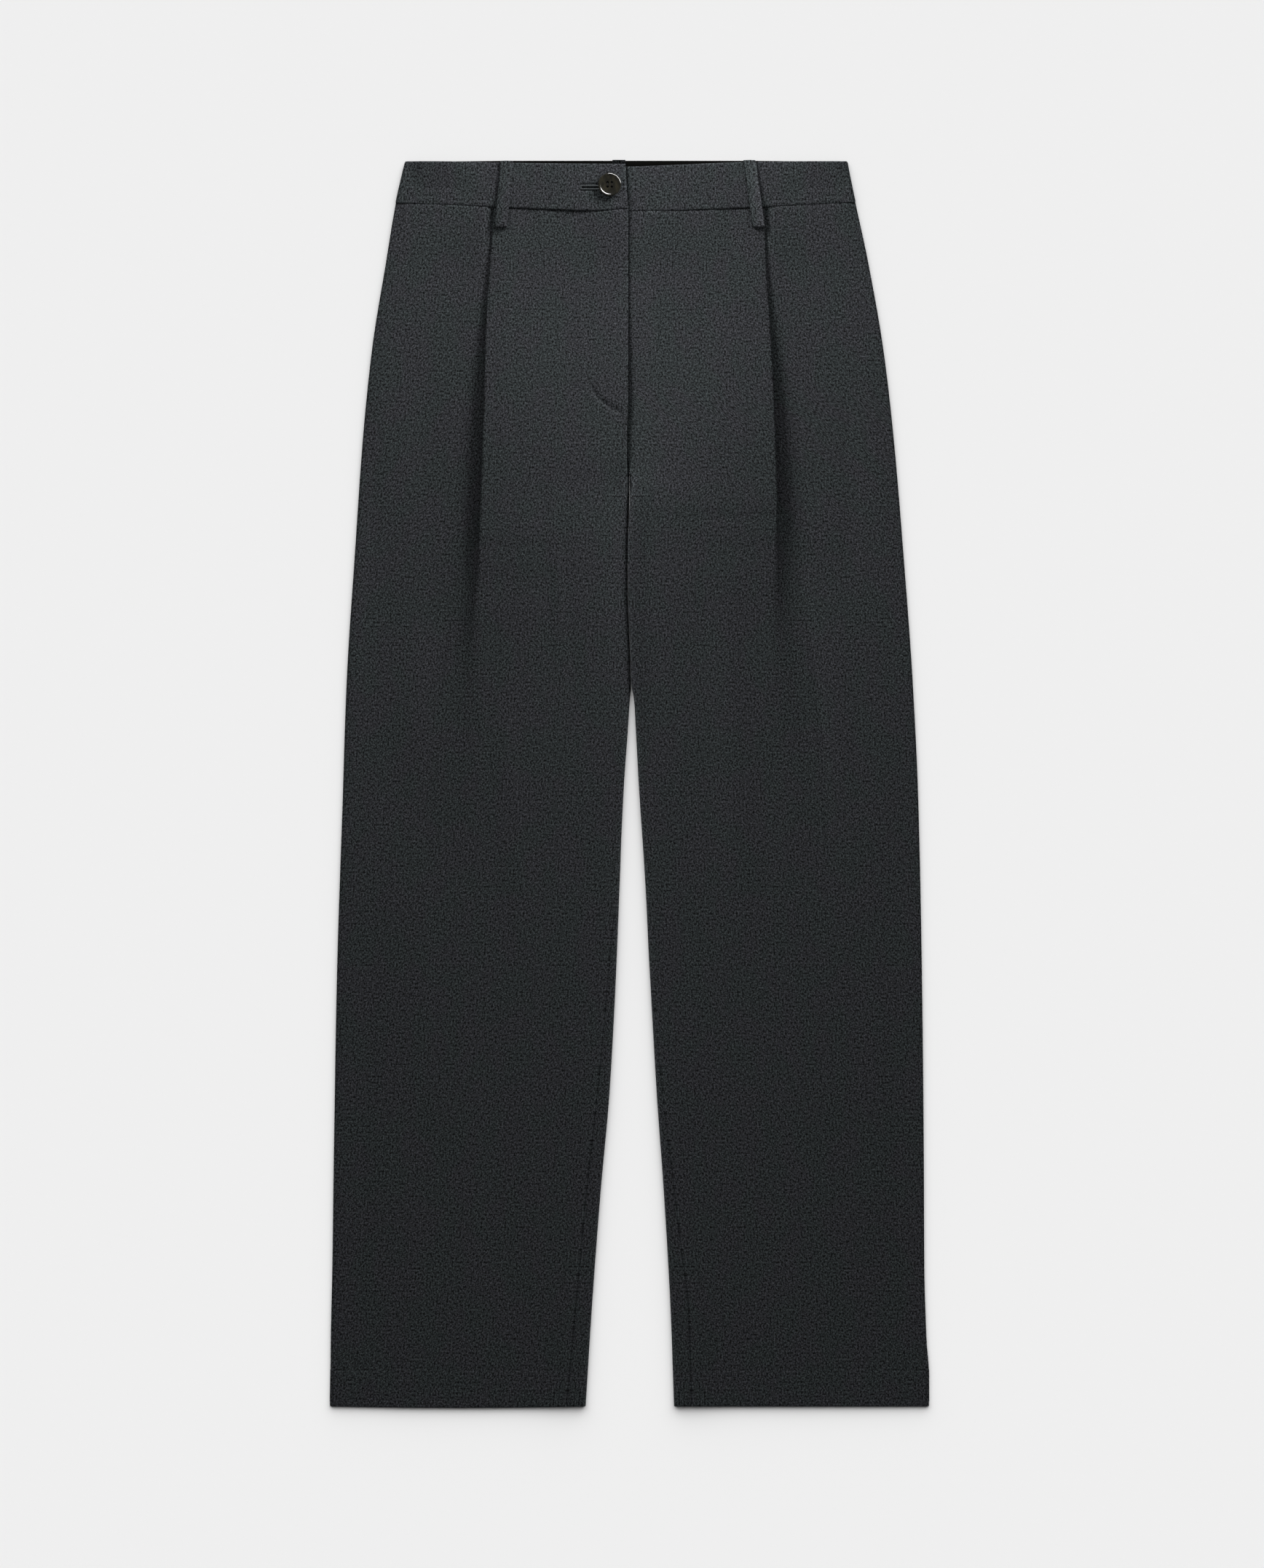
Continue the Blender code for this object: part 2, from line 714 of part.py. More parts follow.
def make_back_band(material):
    """The back length of the waistband, from side to side, flat where it lies."""
    sections = []
    for row in BAND_ROWS:
        right = [(-across, height) for across, height in band_rolled("right", row, BACK_BAND_HALF, -1)]
        left = band_rolled("left", row, BACK_BAND_HALF, -1)
        ways = [mix(right[0][0], left[0][0], k / BAND_STEPS) for k in range(1, BAND_STEPS)]
        path = right[::-1] + [(x, BACK_BAND_HALF) for x in ways] + left
        faces = []
        for line in (offset(path, -BACK_BAND_HALF), offset(path, BACK_BAND_HALF * row.thickness)):
            points = []
            for x, height in line:
                side = "right" if x < 0 else "left"
                top = read(BAND_EDGE, "back_top", abs(x))
                down = mix(top, waist_seam(side, abs(x), back=True), row.share) + row.inset
                points.append((x, MIDDLE - down, height))
            faces.append(points)
        sections.append(faces)
    return loft("waistband_back", material, sections)


def strip(name, material, path, centre, width):
    """A strip of cloth: a path of (down, height) with its width across, centred at each down."""
    faces = (offset(path, HALF), offset(path, -HALF))
    sections = []
    for edge in (-width / 2, 0.0, width / 2):
        sections.append([
            [(centre(down) + edge, MIDDLE - down, height) for down, height in line] for line in faces
        ])
    return loft(name, material, sections)


def over_edge(start, rise):
    """A loop's way up past a band's top edge and over its corner, as (down, height)."""
    corner = (LOOP_CORNER * math.pi / 2, -math.pi / 2, CORNER_STEPS)
    return [start] + walk(start, math.pi / 2, ((rise, 0.0, 1), corner))


def make_front_loop(loop, material):
    """A belt loop: over the band's top edge, down its face, and turned under at its end."""
    band_top = read(BAND_EDGE, loop.side + "_top", loop.top_across)
    face = FRONT_BAND_HEIGHT + BAND_HALF + GAP + HALF
    hook = over_edge((band_top - GAP - HALF, face - LOOP_CORNER - LOOP_HOOK), LOOP_HOOK)
    over = PLEAT_TOP + HALF + GAP + HALF + 2 * LOOP_END_RADIUS
    run = loop.end_down - HALF - LOOP_END_RADIUS
    slack = []
    for k in range(1, LOOP_STEPS + 1):
        share = k / LOOP_STEPS
        slack.append((mix(hook[-1][0], run, share), mix(face, over, ease(share))))
    turned = ((LOOP_END_RADIUS * math.pi, -math.pi, FOLD_STEPS), (LOOP_TURN_UNDER, 0.0, 1))

    def centre(down):
        share = (down - band_top) / (loop.end_down - band_top)
        return SIGN[loop.side] * mix(loop.top_across, loop.end_across, share)

    path = hook + slack + walk(slack[-1], 0.0, turned)
    return strip("belt_loop_front_" + loop.side, material, path, centre, LOOP_WIDTH)


def make_back_loop(material):
    """The centre-back loop's fold over the top edge of the band; the rest lies underneath."""
    band_top = read(BAND_EDGE, "back_top", 0.0)
    face = 2 * BACK_BAND_HALF + GAP + HALF
    start = (band_top - GAP - HALF, BACK_LOOP_FOOT)
    path = over_edge(start, face - LOOP_CORNER - BACK_LOOP_FOOT) + [(BACK_LOOP_TAIL, face)]
    middle = (BACK_LOOP_FROM + BACK_LOOP_TO) / 2
    return strip("belt_loop_back", material, path, lambda down: middle, BACK_LOOP_TO - BACK_LOOP_FROM)


def add_cutter(name, radius, across, down, length, level):
    """A round-ended guide for a cut through the cloth; it isn't part of the trousers."""
    mesh = bmesh.new()
    bmesh.ops.create_circle(mesh, cap_ends=True, segments=EYELET_STEPS, radius=radius * MM)
    for vert in mesh.verts:
        if vert.co.x < 0:
            vert.co.x -= length * MM
    made = bmesh.ops.extrude_face_region(mesh, geom=mesh.faces[:])
    raised = [item for item in made["geom"] if isinstance(item, bmesh.types.BMVert)]
    bmesh.ops.translate(mesh, verts=raised, vec=(0, 0, 2 * CUT_REACH * MM))
    bmesh.ops.recalc_face_normals(mesh, faces=mesh.faces)
    data = bpy.data.meshes.new(name)
    mesh.to_mesh(data)
    mesh.free()
    cutter = bpy.data.objects.new(name, data)
    cutter.location = (-across * MM, (MIDDLE - down) * MM, (level - CUT_REACH) * MM)
    cutter.hide_render = True
    cutter.display_type = "WIRE"
    bpy.context.scene.collection.objects.link(cutter)
    return cutter


def cut(item, cutter):
    """Takes the cutter's shape out of an object."""
    modifier = item.modifiers.new(cutter.name, "BOOLEAN")
    modifier.operation = "DIFFERENCE"
    modifier.solver = "EXACT"
    modifier.object = cutter


def cut_buttonhole(band):
    """A keyhole buttonhole: a slit with an eyelet where the button's shank stands."""
    length = BUTTONHOLE_END - BUTTON_ACROSS
    slit_radius = BUTTONHOLE_WIDTH / 2
    slit = add_cutter(
        "buttonhole_slit", slit_radius, BUTTON_ACROSS, BUTTONHOLE_DOWN, length, LAP_HEIGHT
    )
    eyelet = add_cutter(
        "buttonhole_eyelet", EYELET_RADIUS, BUTTON_ACROSS, BUTTON_DOWN, 0.0, LAP_HEIGHT
    )
    cut(band, slit)
    cut(band, eyelet)


def make_button(material):
    """A four-hole button with a raised rim, on its thread shank."""
    base = LAP_HEIGHT + BAND_HALF + BUTTON_LIFT
    foot = FRONT_BAND_HEIGHT + BAND_HALF + GAP - base
    shank = ((0.0, foot), (SHANK_RADIUS, foot), (SHANK_RADIUS, 0.0))
    mesh = bmesh.new()
    line = [mesh.verts.new((radius * MM, 0, height * MM)) for radius, height in shank + BUTTON_DISC]
    edges = [mesh.edges.new(pair) for pair in zip(line, line[1:])]
    bmesh.ops.spin(
        mesh, geom=line + edges, cent=(0, 0, 0), axis=(0, 0, 1), angle=2 * math.pi,
        steps=ROUND_STEPS, use_merge=True,
    )
    bmesh.ops.remove_doubles(mesh, verts=mesh.verts, dist=0.001 * MM)
    bmesh.ops.recalc_face_normals(mesh, faces=mesh.faces)
    button = add_object("button", material, mesh)
    button.location = (-BUTTON_ACROSS * MM, (MIDDLE - BUTTON_DOWN) * MM, base * MM)
    reach = BUTTON_HOLE_PITCH / 2
    for k, (across, down) in enumerate(((-1, -1), (-1, 1), (1, -1), (1, 1))):
        hole = add_cutter(
            f"button_hole_{k + 1}", BUTTON_HOLE_RADIUS, BUTTON_ACROSS + across * reach,
            BUTTON_DOWN + down * reach, 0.0, base + BUTTON_MIDDLE,
        )
        cut(button, hole)
    return button


def main():
    """Builds every piece, each with its own finish."""
    clear_scene()
    for side in SIGN:
        make_back(side, finish("wool_back_" + side, WOOL, WOOL_ROUGHNESS))
        make_front(side, finish("wool_front_" + side, WOOL, WOOL_ROUGHNESS))
        band = make_front_band(side, finish("wool_band_" + side, WOOL, WOOL_ROUGHNESS))
        if side == "right":
            cut_buttonhole(band)
    make_back_band(finish("wool_band_back", WOOL, WOOL_ROUGHNESS))
    for loop in LOOPS:
        make_front_loop(loop, finish("wool_loop_" + loop.side, WOOL, WOOL_ROUGHNESS))
    make_back_loop(finish("wool_loop_back", WOOL, WOOL_ROUGHNESS))
    make_button(finish("horn_button", HORN, HORN_ROUGHNESS))


main()
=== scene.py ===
"""Pleated dress trousers laid flat: cloth, button, thread and the studio that they lie in.

Every piece of cloth is a grid that is laid out section by section on the form of its solid,
with finer folds. Lengths are in millimetres until a mesh is finished, x runs to the wearer's
left, y up towards the waist and z off the floor.
"""

import bisect
import logging
import math
from collections.abc import Callable, Sequence
from dataclasses import dataclass, field
from enum import Enum
from typing import ClassVar, NamedTuple

import bmesh
import bpy
from mathutils import Matrix, Vector, noise

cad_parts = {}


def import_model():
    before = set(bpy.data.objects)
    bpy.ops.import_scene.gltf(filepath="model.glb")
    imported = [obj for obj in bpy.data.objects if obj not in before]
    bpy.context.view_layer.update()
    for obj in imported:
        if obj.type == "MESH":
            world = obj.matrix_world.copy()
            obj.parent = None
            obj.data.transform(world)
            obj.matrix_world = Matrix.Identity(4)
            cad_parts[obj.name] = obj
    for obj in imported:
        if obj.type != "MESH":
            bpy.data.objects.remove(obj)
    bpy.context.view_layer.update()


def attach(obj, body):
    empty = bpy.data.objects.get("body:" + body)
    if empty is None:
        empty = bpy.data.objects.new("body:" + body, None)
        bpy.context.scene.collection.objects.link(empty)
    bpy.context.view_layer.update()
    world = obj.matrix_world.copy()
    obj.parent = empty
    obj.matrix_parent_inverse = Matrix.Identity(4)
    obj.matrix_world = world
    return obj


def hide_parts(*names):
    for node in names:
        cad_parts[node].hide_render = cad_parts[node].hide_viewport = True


LOG = logging.getLogger("trousers")
MM = 0.001
UP = Vector((0, 0, 1))

Flat = tuple[float, float]  # across or down, and height
Spot = tuple[float, float, float]
Socket = bpy.types.NodeSocket
Mesh = bmesh.types.BMesh


class Side(Enum):
    """A side of the wearer, and the way that x runs to it."""

    RIGHT = -1.0
    LEFT = 1.0

    @property
    def word(self) -> str:
        """The side in a piece's name."""
        return self.name.lower()


class Slot(Enum):
    """The record's material slots."""

    CLOTH = "wool_cloth"
    BUTTON = "button_horn"


class Held(Enum):
    """What keeps a piece of cloth in its shape."""

    LAID = "laid"
    FOLDED = "folded"


# ---------------------------------------------------------------------------------------
# Sizes, in millimetres
# ---------------------------------------------------------------------------------------

CLOTH = 0.75  # thickness of one layer
HALF = CLOTH / 2
GAP = 0.3
WELD = 0.0005  # points closer than this are one
BACK_HEIGHT = HALF  # middle line of the backs, on the floor
LAID_HEIGHT = CLOTH + GAP + HALF  # middle line of a layer that lies on a back
OUTER_ROLL = 2.6  # cloth from the crest of a leg's outer side to its middle
OUTER_RADIUS = OUTER_ROLL / (math.pi / 2)
INNER_ROLL = 4.4  # the same at the inner side, which is fuller
INNER_RADIUS = INNER_ROLL / (math.pi / 2)
INNER_HEIGHT = BACK_HEIGHT + 2 * INNER_RADIUS
SEAM = 0.12  # half of a seam's gap
DITCH_DEPTH = 0.35  # how deep a seam sinks
DITCH_WIDTH = 0.9

TOP_EDGE = -2.0
HEM = 1025.4
HEM_TURN_UP = 30.0
HEM_FOLD = 0.52  # radius of the fold at the hem
HEM_BELLY = {Side.RIGHT: 1.2, Side.LEFT: 0.0}
PANEL_TOP = 34.2
SEAM_FADE = 110.0
CROTCH = 330.0
MIDDLE = (HEM + HEM_BELLY[Side.RIGHT] + TOP_EDGE) / 2


class Pair(NamedTuple):
    """A size of the right and the left side at a distance down."""

    down: float
    right: float
    left: float


class Pleat(NamedTuple):
    """How a pleat is folded at a distance down."""

    down: float
    depth: float  # cloth folded back under
    turn: float  # degrees in each of its two bends
    crest: float  # cloth in the upper bend
    valley: float  # cloth in the lower bend
    height: float  # middle line of the layer under it


class FrontEdge(NamedTuple):
    """The fronts' edges at the centre front: heights, curl in degrees, and underlap."""

    down: float
    right: float
    left: float
    turn: float
    underlap: float


class BackEdge(NamedTuple):
    """The backs' edges, which turn up from the centre back to the inseam."""

    down: float
    to_inner: float
    turn: float


class BandEdge(NamedTuple):
    """Where the waistband's long edges are, down from its top, at a distance across."""

    across: float
    right_top: float
    right_bottom: float
    left_top: float
    left_bottom: float
    back_top: float


class Table:
    """Rows with named columns, read on a smooth curve that never overshoots."""

    def __init__(self, *rows: NamedTuple) -> None:
        """Keeps the first column as the key, and works out every column's slopes."""
        self.keys = [row[0] for row in rows]
        self.columns = {name: [getattr(row, name) for row in rows] for name in rows[0]._fields}
        self.slopes = {name: self._slopes(values) for name, values in self.columns.items()}

    def _slopes(self, values: Sequence[float]) -> list[float]:
        """The slope at each row: none at a turn."""
        steps = [
            (high - low) / (after - before)
            for low, high, before, after in zip(values, values[1:], self.keys, self.keys[1:])
        ]
        inner = [2 * a * b / (a + b) if a * b > 0 else 0.0 for a, b in zip(steps, steps[1:])]
        return [steps[0], *inner, steps[-1]]

    def read(self, column: str, at: float) -> float:
        """One column at a value of the key.

        Args:
            column: the column's name.
            at: the key, held within the rows.

        Returns:
            The column's value there.
        """
        values, slopes, keys = self.columns[column], self.slopes[column], self.keys
        if at <= keys[0]:
            return values[0]
        if at >= keys[-1]:
            return values[-1]
        row = bisect.bisect_right(keys, at) - 1
        span = keys[row + 1] - keys[row]
        t = (at - keys[row]) / span
        rest = 1 - t
        value = values[row] * (1 + 2 * t) * rest * rest + values[row + 1] * t * t * (3 - 2 * t)
        return value + span * (slopes[row] * t * rest * rest - slopes[row + 1] * t * t * rest)


OUTER_EDGE = Table(
    Pair(0, 185.0, 179.5),
    Pair(12, 188.0, 181.8),
    Pair(34, 192.9, 186.3),
    Pair(83, 201.0, 196.8),
    Pair(155, 212.5, 209.4),
    Pair(227, 219.9, 217.8),
    Pair(323, 226.6, 225.9),
    Pair(431, 233.5, 233.7),
    Pair(527, 236.7, 238.2),
    Pair(671, 241.4, 241.2),
    Pair(815, 243.9, 242.7),
    Pair(911, 245.2, 243.2),
    Pair(971, 246.5, 245.0),
    Pair(997, 246.7, 246.9),
    Pair(1026, 247.2, 247.0),
)
INNER_EDGE = Table(
    Pair(34, 1.15, -0.85),
    Pair(190, 1.3, -1.0),
    Pair(233, 2.3, -1.6),
    Pair(243, 2.2, 0.8),
    Pair(250, 2.0, 2.3),
    Pair(259, 1.8, 2.0),
    Pair(268, 1.4, 1.3),
    Pair(278, 1.3, 0.4),
    Pair(296, 1.3, -0.6),
    Pair(317, 1.5, -1.6),
    Pair(359, 1.3, -1.5),
    Pair(383, 0.3, -0.5),
    Pair(407, -0.7, 0.5),
    Pair(422, -0.9, 0.7),
    Pair(429, -1.3, 1.2),
    Pair(434, -1.35, 1.75),
    Pair(439, -0.95, 2.8),
    Pair(444, -0.5, 3.6),
    Pair(467, 1.0, 4.8),
    Pair(515, 4.4, 7.4),
    Pair(587, 7.8, 12.2),
    Pair(671, 11.2, 16.8),
    Pair(767, 16.5, 22.3),
    Pair(851, 24.0, 28.3),
    Pair(947, 31.2, 33.8),
    Pair(1026, 36.2, 36.6),
)
INSEAM_ROLL = Table(
    Pair(560, 0.0, 0.0),
    Pair(600, 2.2, 0.0),
    Pair(640, 6.6, 1.2),
    Pair(700, 9.1, 4.0),
    Pair(790, 12.2, 7.6),
    Pair(880, 13.9, 12.1),
    Pair(950, 15.2, 16.6),
    Pair(1026, 17.6, 16.2),
)
CREASE_LINE = Table(
    Pair(34, 111.5, 111.0),
    Pair(83, 115.1, 112.4),
    Pair(131, 118.2, 115.5),
    Pair(196, 120.0, 118.9),
    Pair(287, 123.1, 121.8),
    Pair(335, 125.5, 122.4),
    Pair(383, 130.6, 124.5),
    Pair(440, 134.0, 130.0),
    Pair(600, 138.0, 138.0),
    Pair(1026, 141.0, 141.0),
)
PLEAT = Table(
    Pleat(34, 26.0, 179.5, 1.5, 1.5, LAID_HEIGHT),
    Pleat(70, 25.0, 179.3, 1.6, 1.6, LAID_HEIGHT),
    Pleat(120, 23.0, 177.0, 1.9, 1.9, LAID_HEIGHT),
    Pleat(170, 19.0, 169.0, 2.3, 2.4, LAID_HEIGHT),
    Pleat(220, 15.0, 160.0, 2.7, 3.1, LAID_HEIGHT),
    Pleat(270, 9.5, 150.0, 2.9, 3.9, LAID_HEIGHT),
    Pleat(300, 6.0, 135.0, 3.0, 4.5, 1.5),
    Pleat(320, 2.6, 95.0, 3.2, 6.0, 1.7),
    Pleat(345, 2.0, 52.0, 3.6, 10.0, 1.8),
    Pleat(370, 1.6, 34.0, 5.0, 14.0, 2.0),
    Pleat(395, 1.0, 20.0, 8.0, 17.0, 2.4),
    Pleat(430, 0.6, 11.0, 12.0, 20.0, 2.8),
    Pleat(480, 0.4, 6.0, 17.0, 22.0, 3.2),
    Pleat(560, 0.4, 2.2, 22.0, 24.0, 3.7),
    Pleat(680, 0.4, 0.6, 25.0, 25.0, 4.2),
    Pleat(1026, 0.4, 0.2, 28.0, 28.0, 4.4),
)
PLEAT_OPENS_EARLY = {Side.RIGHT: 0.0, Side.LEFT: 26.0}  # how far the table runs ahead
PLEAT_OPENS = (230.0, 300.0)  # where that comes in
FRONT_EDGE = Table(
    FrontEdge(34, 3.4, LAID_HEIGHT, 8.0, 33.0),
    FrontEdge(64, 3.0, LAID_HEIGHT, 8.0, 33.0),
    FrontEdge(110, 3.1, LAID_HEIGHT, 8.0, 33.0),
    FrontEdge(150, 4.3, LAID_HEIGHT, 8.0, 33.0),
    FrontEdge(186, 4.8, LAID_HEIGHT, 8.0, 33.0),
    FrontEdge(206, 4.9, LAID_HEIGHT, 8.0, 20.0),
    FrontEdge(222, 5.0, 1.8, 10.0, 8.0),
    FrontEdge(240, 5.3, 2.2, 14.0, 4.0),
    FrontEdge(253, 5.1, 3.2, 22.0, 2.4),
    FrontEdge(259, 4.7, 3.8, 36.0, 1.2),
    FrontEdge(267, 4.2, 4.8, 74.0, 0.0),
    FrontEdge(280, 4.5, 5.4, 84.0, 0.0),
    FrontEdge(316, INNER_HEIGHT - 0.1, INNER_HEIGHT, 88.0, 0.0),
    FrontEdge(330, INNER_HEIGHT, INNER_HEIGHT, 90.0, 0.0),
)
BACK_EDGE = Table(
    BackEdge(34, 0.0, 1.0),
    BackEdge(222, 0.0, 1.0),
    BackEdge(252, 0.0, 8.0),
    BackEdge(275, 0.1, 25.0),
    BackEdge(290, 0.35, 44.0),
    BackEdge(316, 1.0, 74.0),
    BackEdge(330, 1.0, 90.0),
)
SEAT_RISE = Table(  # how much fuller a leg stands beside the seat seam, as a share
    Pair(246, 0.0, 0.0),
    Pair(262, -0.1, 0.13),
    Pair(276, -0.15, 0.26),
    Pair(310, -0.16, 0.31),
    Pair(425, -0.16, 0.31),
    Pair(478, 0.0, 0.0),
)
SEAT_RISE_WIDTH = 20.0
SEAT_SQUEEZE = 1.9  # how much narrower its roll is for that
BAND_EDGE = Table(
    BandEdge(-40, 2.3, 39.2, 4.6, 38.0, -0.6),
    BandEdge(-12, 2.3, 39.2, 4.5, 38.4, -0.6),
    BandEdge(0, 2.3, 39.2, 4.4, 41.2, -0.6),
    BandEdge(27, 2.2, 41.0, 3.4, 41.0, -0.6),
    BandEdge(95, 1.3, 38.6, 0.7, 38.6, -0.6),
    BandEdge(150, 0.2, 36.0, 0.0, 35.7, -0.1),
    BandEdge(194, 0.0, 34.6, 0.0, 33.6, 0.0),
)
BACK_BAND_DROP = 38.2
TUCK_START = 0.6  # how far above the panels' top the waist seam starts to sink


def band_edge(side: Side, edge: str, across: float) -> float:
    """How far down a front waistband's top or bottom edge is."""
    return BAND_EDGE.read(f"{side.word}_{edge}", across)


def back_band_bottom(side: Side, across: float) -> float:
    """How far down the back waistband's lower edge is, which runs straight to each side."""
    at_side = BAND_EDGE.columns[side.word + "_bottom"][-1]
    return mix(BACK_BAND_DROP, at_side, across / BAND_EDGE.keys[-1])


class Fold(NamedTuple):
    """A soft ridge on one front, or a trough where its height is negative."""

    side: Side
    down_from: float
    across_from: float
    down_to: float
    across_to: float
    bow: float  # how far its middle stands out from the straight line, away from the centre
    half_width: float
    height: float


FOLDS = (
    Fold(Side.RIGHT, 110, 170.0, 500, 142.0, 8.0, 26.0, -0.9),
    Fold(Side.RIGHT, 190, 198.0, 620, 190.0, 4.0, 50.0, -1.5),
    Fold(Side.RIGHT, 60, 205.0, 330, 196.0, 6.0, 15.0, 0.35),
    Fold(Side.RIGHT, 300, 196.0, 560, 168.0, 4.0, 24.0, 0.4),
    Fold(Side.RIGHT, 400, 110.0, 690, 80.0, 2.0, 18.0, 0.5),
    Fold(Side.RIGHT, 210, 74.0, 440, 62.0, 3.0, 13.0, -0.45),
    Fold(Side.RIGHT, 250, 56.0, 470, 46.0, 0.0, 10.0, -0.3),
    Fold(Side.RIGHT, 330, 58.0, 450, 54.0, 0.0, 8.0, 0.25),
    Fold(Side.RIGHT, 50, 41.0, 210, 39.0, 0.0, 7.0, 0.25),
    Fold(Side.RIGHT, 50, 100.0, 330, 105.0, 0.0, 10.0, 0.2),
    Fold(Side.RIGHT, 560, 210.0, 980, 226.0, 0.0, 20.0, -0.35),
    Fold(Side.RIGHT, 620, 120.0, 1000, 96.0, 4.0, 26.0, -0.35),
    Fold(Side.LEFT, 290, 76.0, 690, 98.0, -3.0, 25.0, 0.95),
    Fold(Side.LEFT, 220, 128.0, 620, 164.0, 0.0, 18.0, -0.7),
    Fold(Side.LEFT, 150, 176.0, 370, 182.0, 3.0, 13.0, -0.5),
    Fold(Side.LEFT, 360, 166.0, 560, 170.0, 4.0, 17.0, 0.45),
    Fold(Side.LEFT, 45, 20.0, 170, 22.0, 0.0, 9.0, 0.3),
    Fold(Side.LEFT, 60, 66.0, 240, 60.0, 0.0, 14.0, -0.25),
    Fold(Side.LEFT, 640, 130.0, 960, 120.0, 0.0, 26.0, -0.35),
    Fold(Side.LEFT, 540, 215.0, 900, 222.0, 0.0, 18.0, -0.3),
)
FOLD_END = 0.35  # share of its length in which a fold rises at each end
FOLD_WIDENS = (0.85, 1.15)  # its width at its start and its end, as a share
FOLD_CLEAR = 12.0  # a fold dies away over this much beside an edge or a pleat
FOLD_MEETS_PLEAT = 350.0  # below this, where the pleat has opened, folds run on across it


class Pucker(NamedTuple):
    """A short slanting crease near a seam or a corner."""

    side: Side
    down: float
    across: float
    length: float
    slant: float  # degrees from straight across, towards the hem
    half_width: float
    height: float


PUCKERS = (
    Pucker(Side.LEFT, 46, 116.0, 16.0, 40.0, 3.5, 0.4),
    Pucker(Side.LEFT, 52, 121.0, 14.0, 62.0, 3.0, -0.35),
    Pucker(Side.RIGHT, 992, 226.0, 52.0, -48.0, 6.0, -0.5),
    Pucker(Side.RIGHT, 1004, 214.0, 50.0, -40.0, 6.0, 0.35),
    Pucker(Side.RIGHT, 982, 238.0, 40.0, -62.0, 5.0, 0.3),
    Pucker(Side.LEFT, 985, 236.0, 26.0, -30.0, 5.0, -0.4),
    Pucker(Side.LEFT, 1012, 236.0, 20.0, -8.0, 4.0, 0.3),
)


# ---------------------------------------------------------------------------------------
# Small functions on numbers and paths
# ---------------------------------------------------------------------------------------


def mix(low: float, high: float, share: float) -> float:
    """A value part of the way from one to another."""
    return low + (high - low) * share


def held_share(value: float) -> float:
    """A share, held between 0 and 1."""
    return min(1.0, max(0.0, value))


def ease(share: float) -> float:
    """0 to 1 with a soft start and end, held outside them."""
    share = held_share(share)
    return share * share * (3 - 2 * share)


def crown(share: float) -> float:
    """0 to 1 with a firm start and a soft end, held outside them."""
    share = held_share(share)
    return share * (2 - share)


def steps(low: float, high: float, count: int) -> list[float]:
    """Values at even steps from one to another, both included."""
    return [mix(low, high, k / count) for k in range(count + 1)]


def spaced(start: float, *spans: tuple[float, int]) -> list[float]:
    """Values from a start on through spans, each given by its end and its count of steps."""
    values = [start]
    for end, count in spans:
        values += steps(start, end, count)[1:]
        start = end
    return values


def gauss(distance: float, width: float) -> float:
    """1 at no distance, falling to about a third at the width and on towards 0."""
    return math.exp(-((distance / width) ** 2))


def bell(distance: float, half_width: float) -> float:
    """1 at no distance, falling softly to 0 at the half width."""
    share = abs(distance) / half_width
    return math.cos(share * math.pi / 2) ** 2 if share < 1 else 0.0


def walk(start: Flat, heading: float, pieces: Sequence[tuple[float, float, int]]) -> list[Flat]:
    """A path of straight and bent pieces.

    Args:
        start: where it sets out, which isn't repeated in the result.
        heading: the direction that it sets out in, in radians.
        pieces: for each piece its length, its turn in radians and its steps.

    Returns:
        The points after each step.
    """
    across, height = start
    points = []
    for length, turn, count in pieces:
        step, bend = length / count, turn / count
        chord = step * (math.sin(bend / 2) / (bend / 2) if abs(bend) > 1e-6 else 1.0)
        for _ in range(count):
            heading += bend / 2
            across += chord * math.cos(heading)
            height += chord * math.sin(heading)
            heading += bend / 2
            points.append((across, height))
    return points


def offset(path: Sequence[Flat], distance: float) -> list[Flat]:
    """The path moved sideways, to its left where the distance is positive."""
    if distance == 0:
        return list(path)
    headings = [math.atan2(end[1] - start[1], end[0] - start[0]) for start, end in zip(path, path[1:])]
    pairs = zip(headings, headings[1:])
    bends = [math.remainder(after - before, 2 * math.pi) for before, after in pairs]
    moved = []
    for k, (across, height) in enumerate(path):
        if 0 < k < len(path) - 1:
            heading = headings[k - 1] + bends[k - 1] / 2
            reach = distance / math.cos(bends[k - 1] / 2)
        else:
            heading, reach = headings[0 if k == 0 else -1], distance
        moved.append((across - reach * math.sin(heading), height + reach * math.cos(heading)))
    return moved


def lengths(path: Sequence[Flat]) -> list[float]:
    """How far along the path each of its points is."""
    run = [0.0]
    for start, end in zip(path, path[1:]):
        run.append(run[-1] + math.dist(start, end))
    return run


# ---------------------------------------------------------------------------------------
# Meshes and finishes
# ---------------------------------------------------------------------------------------

WAVE_LENGTH = 0.314  # between the bands of a wave texture whose scale is 1


def srgb(code: str) -> tuple[float, float, float, float]:
    """A linear colour from an sRGB hex code."""
    parts = [int(code[k : k + 2], 16) / 255 for k in (1, 3, 5)]
    linear = [c / 12.92 if c <= 0.04045 else ((c + 0.055) / 1.055) ** 2.4 for c in parts]
    return (*linear, 1.0)


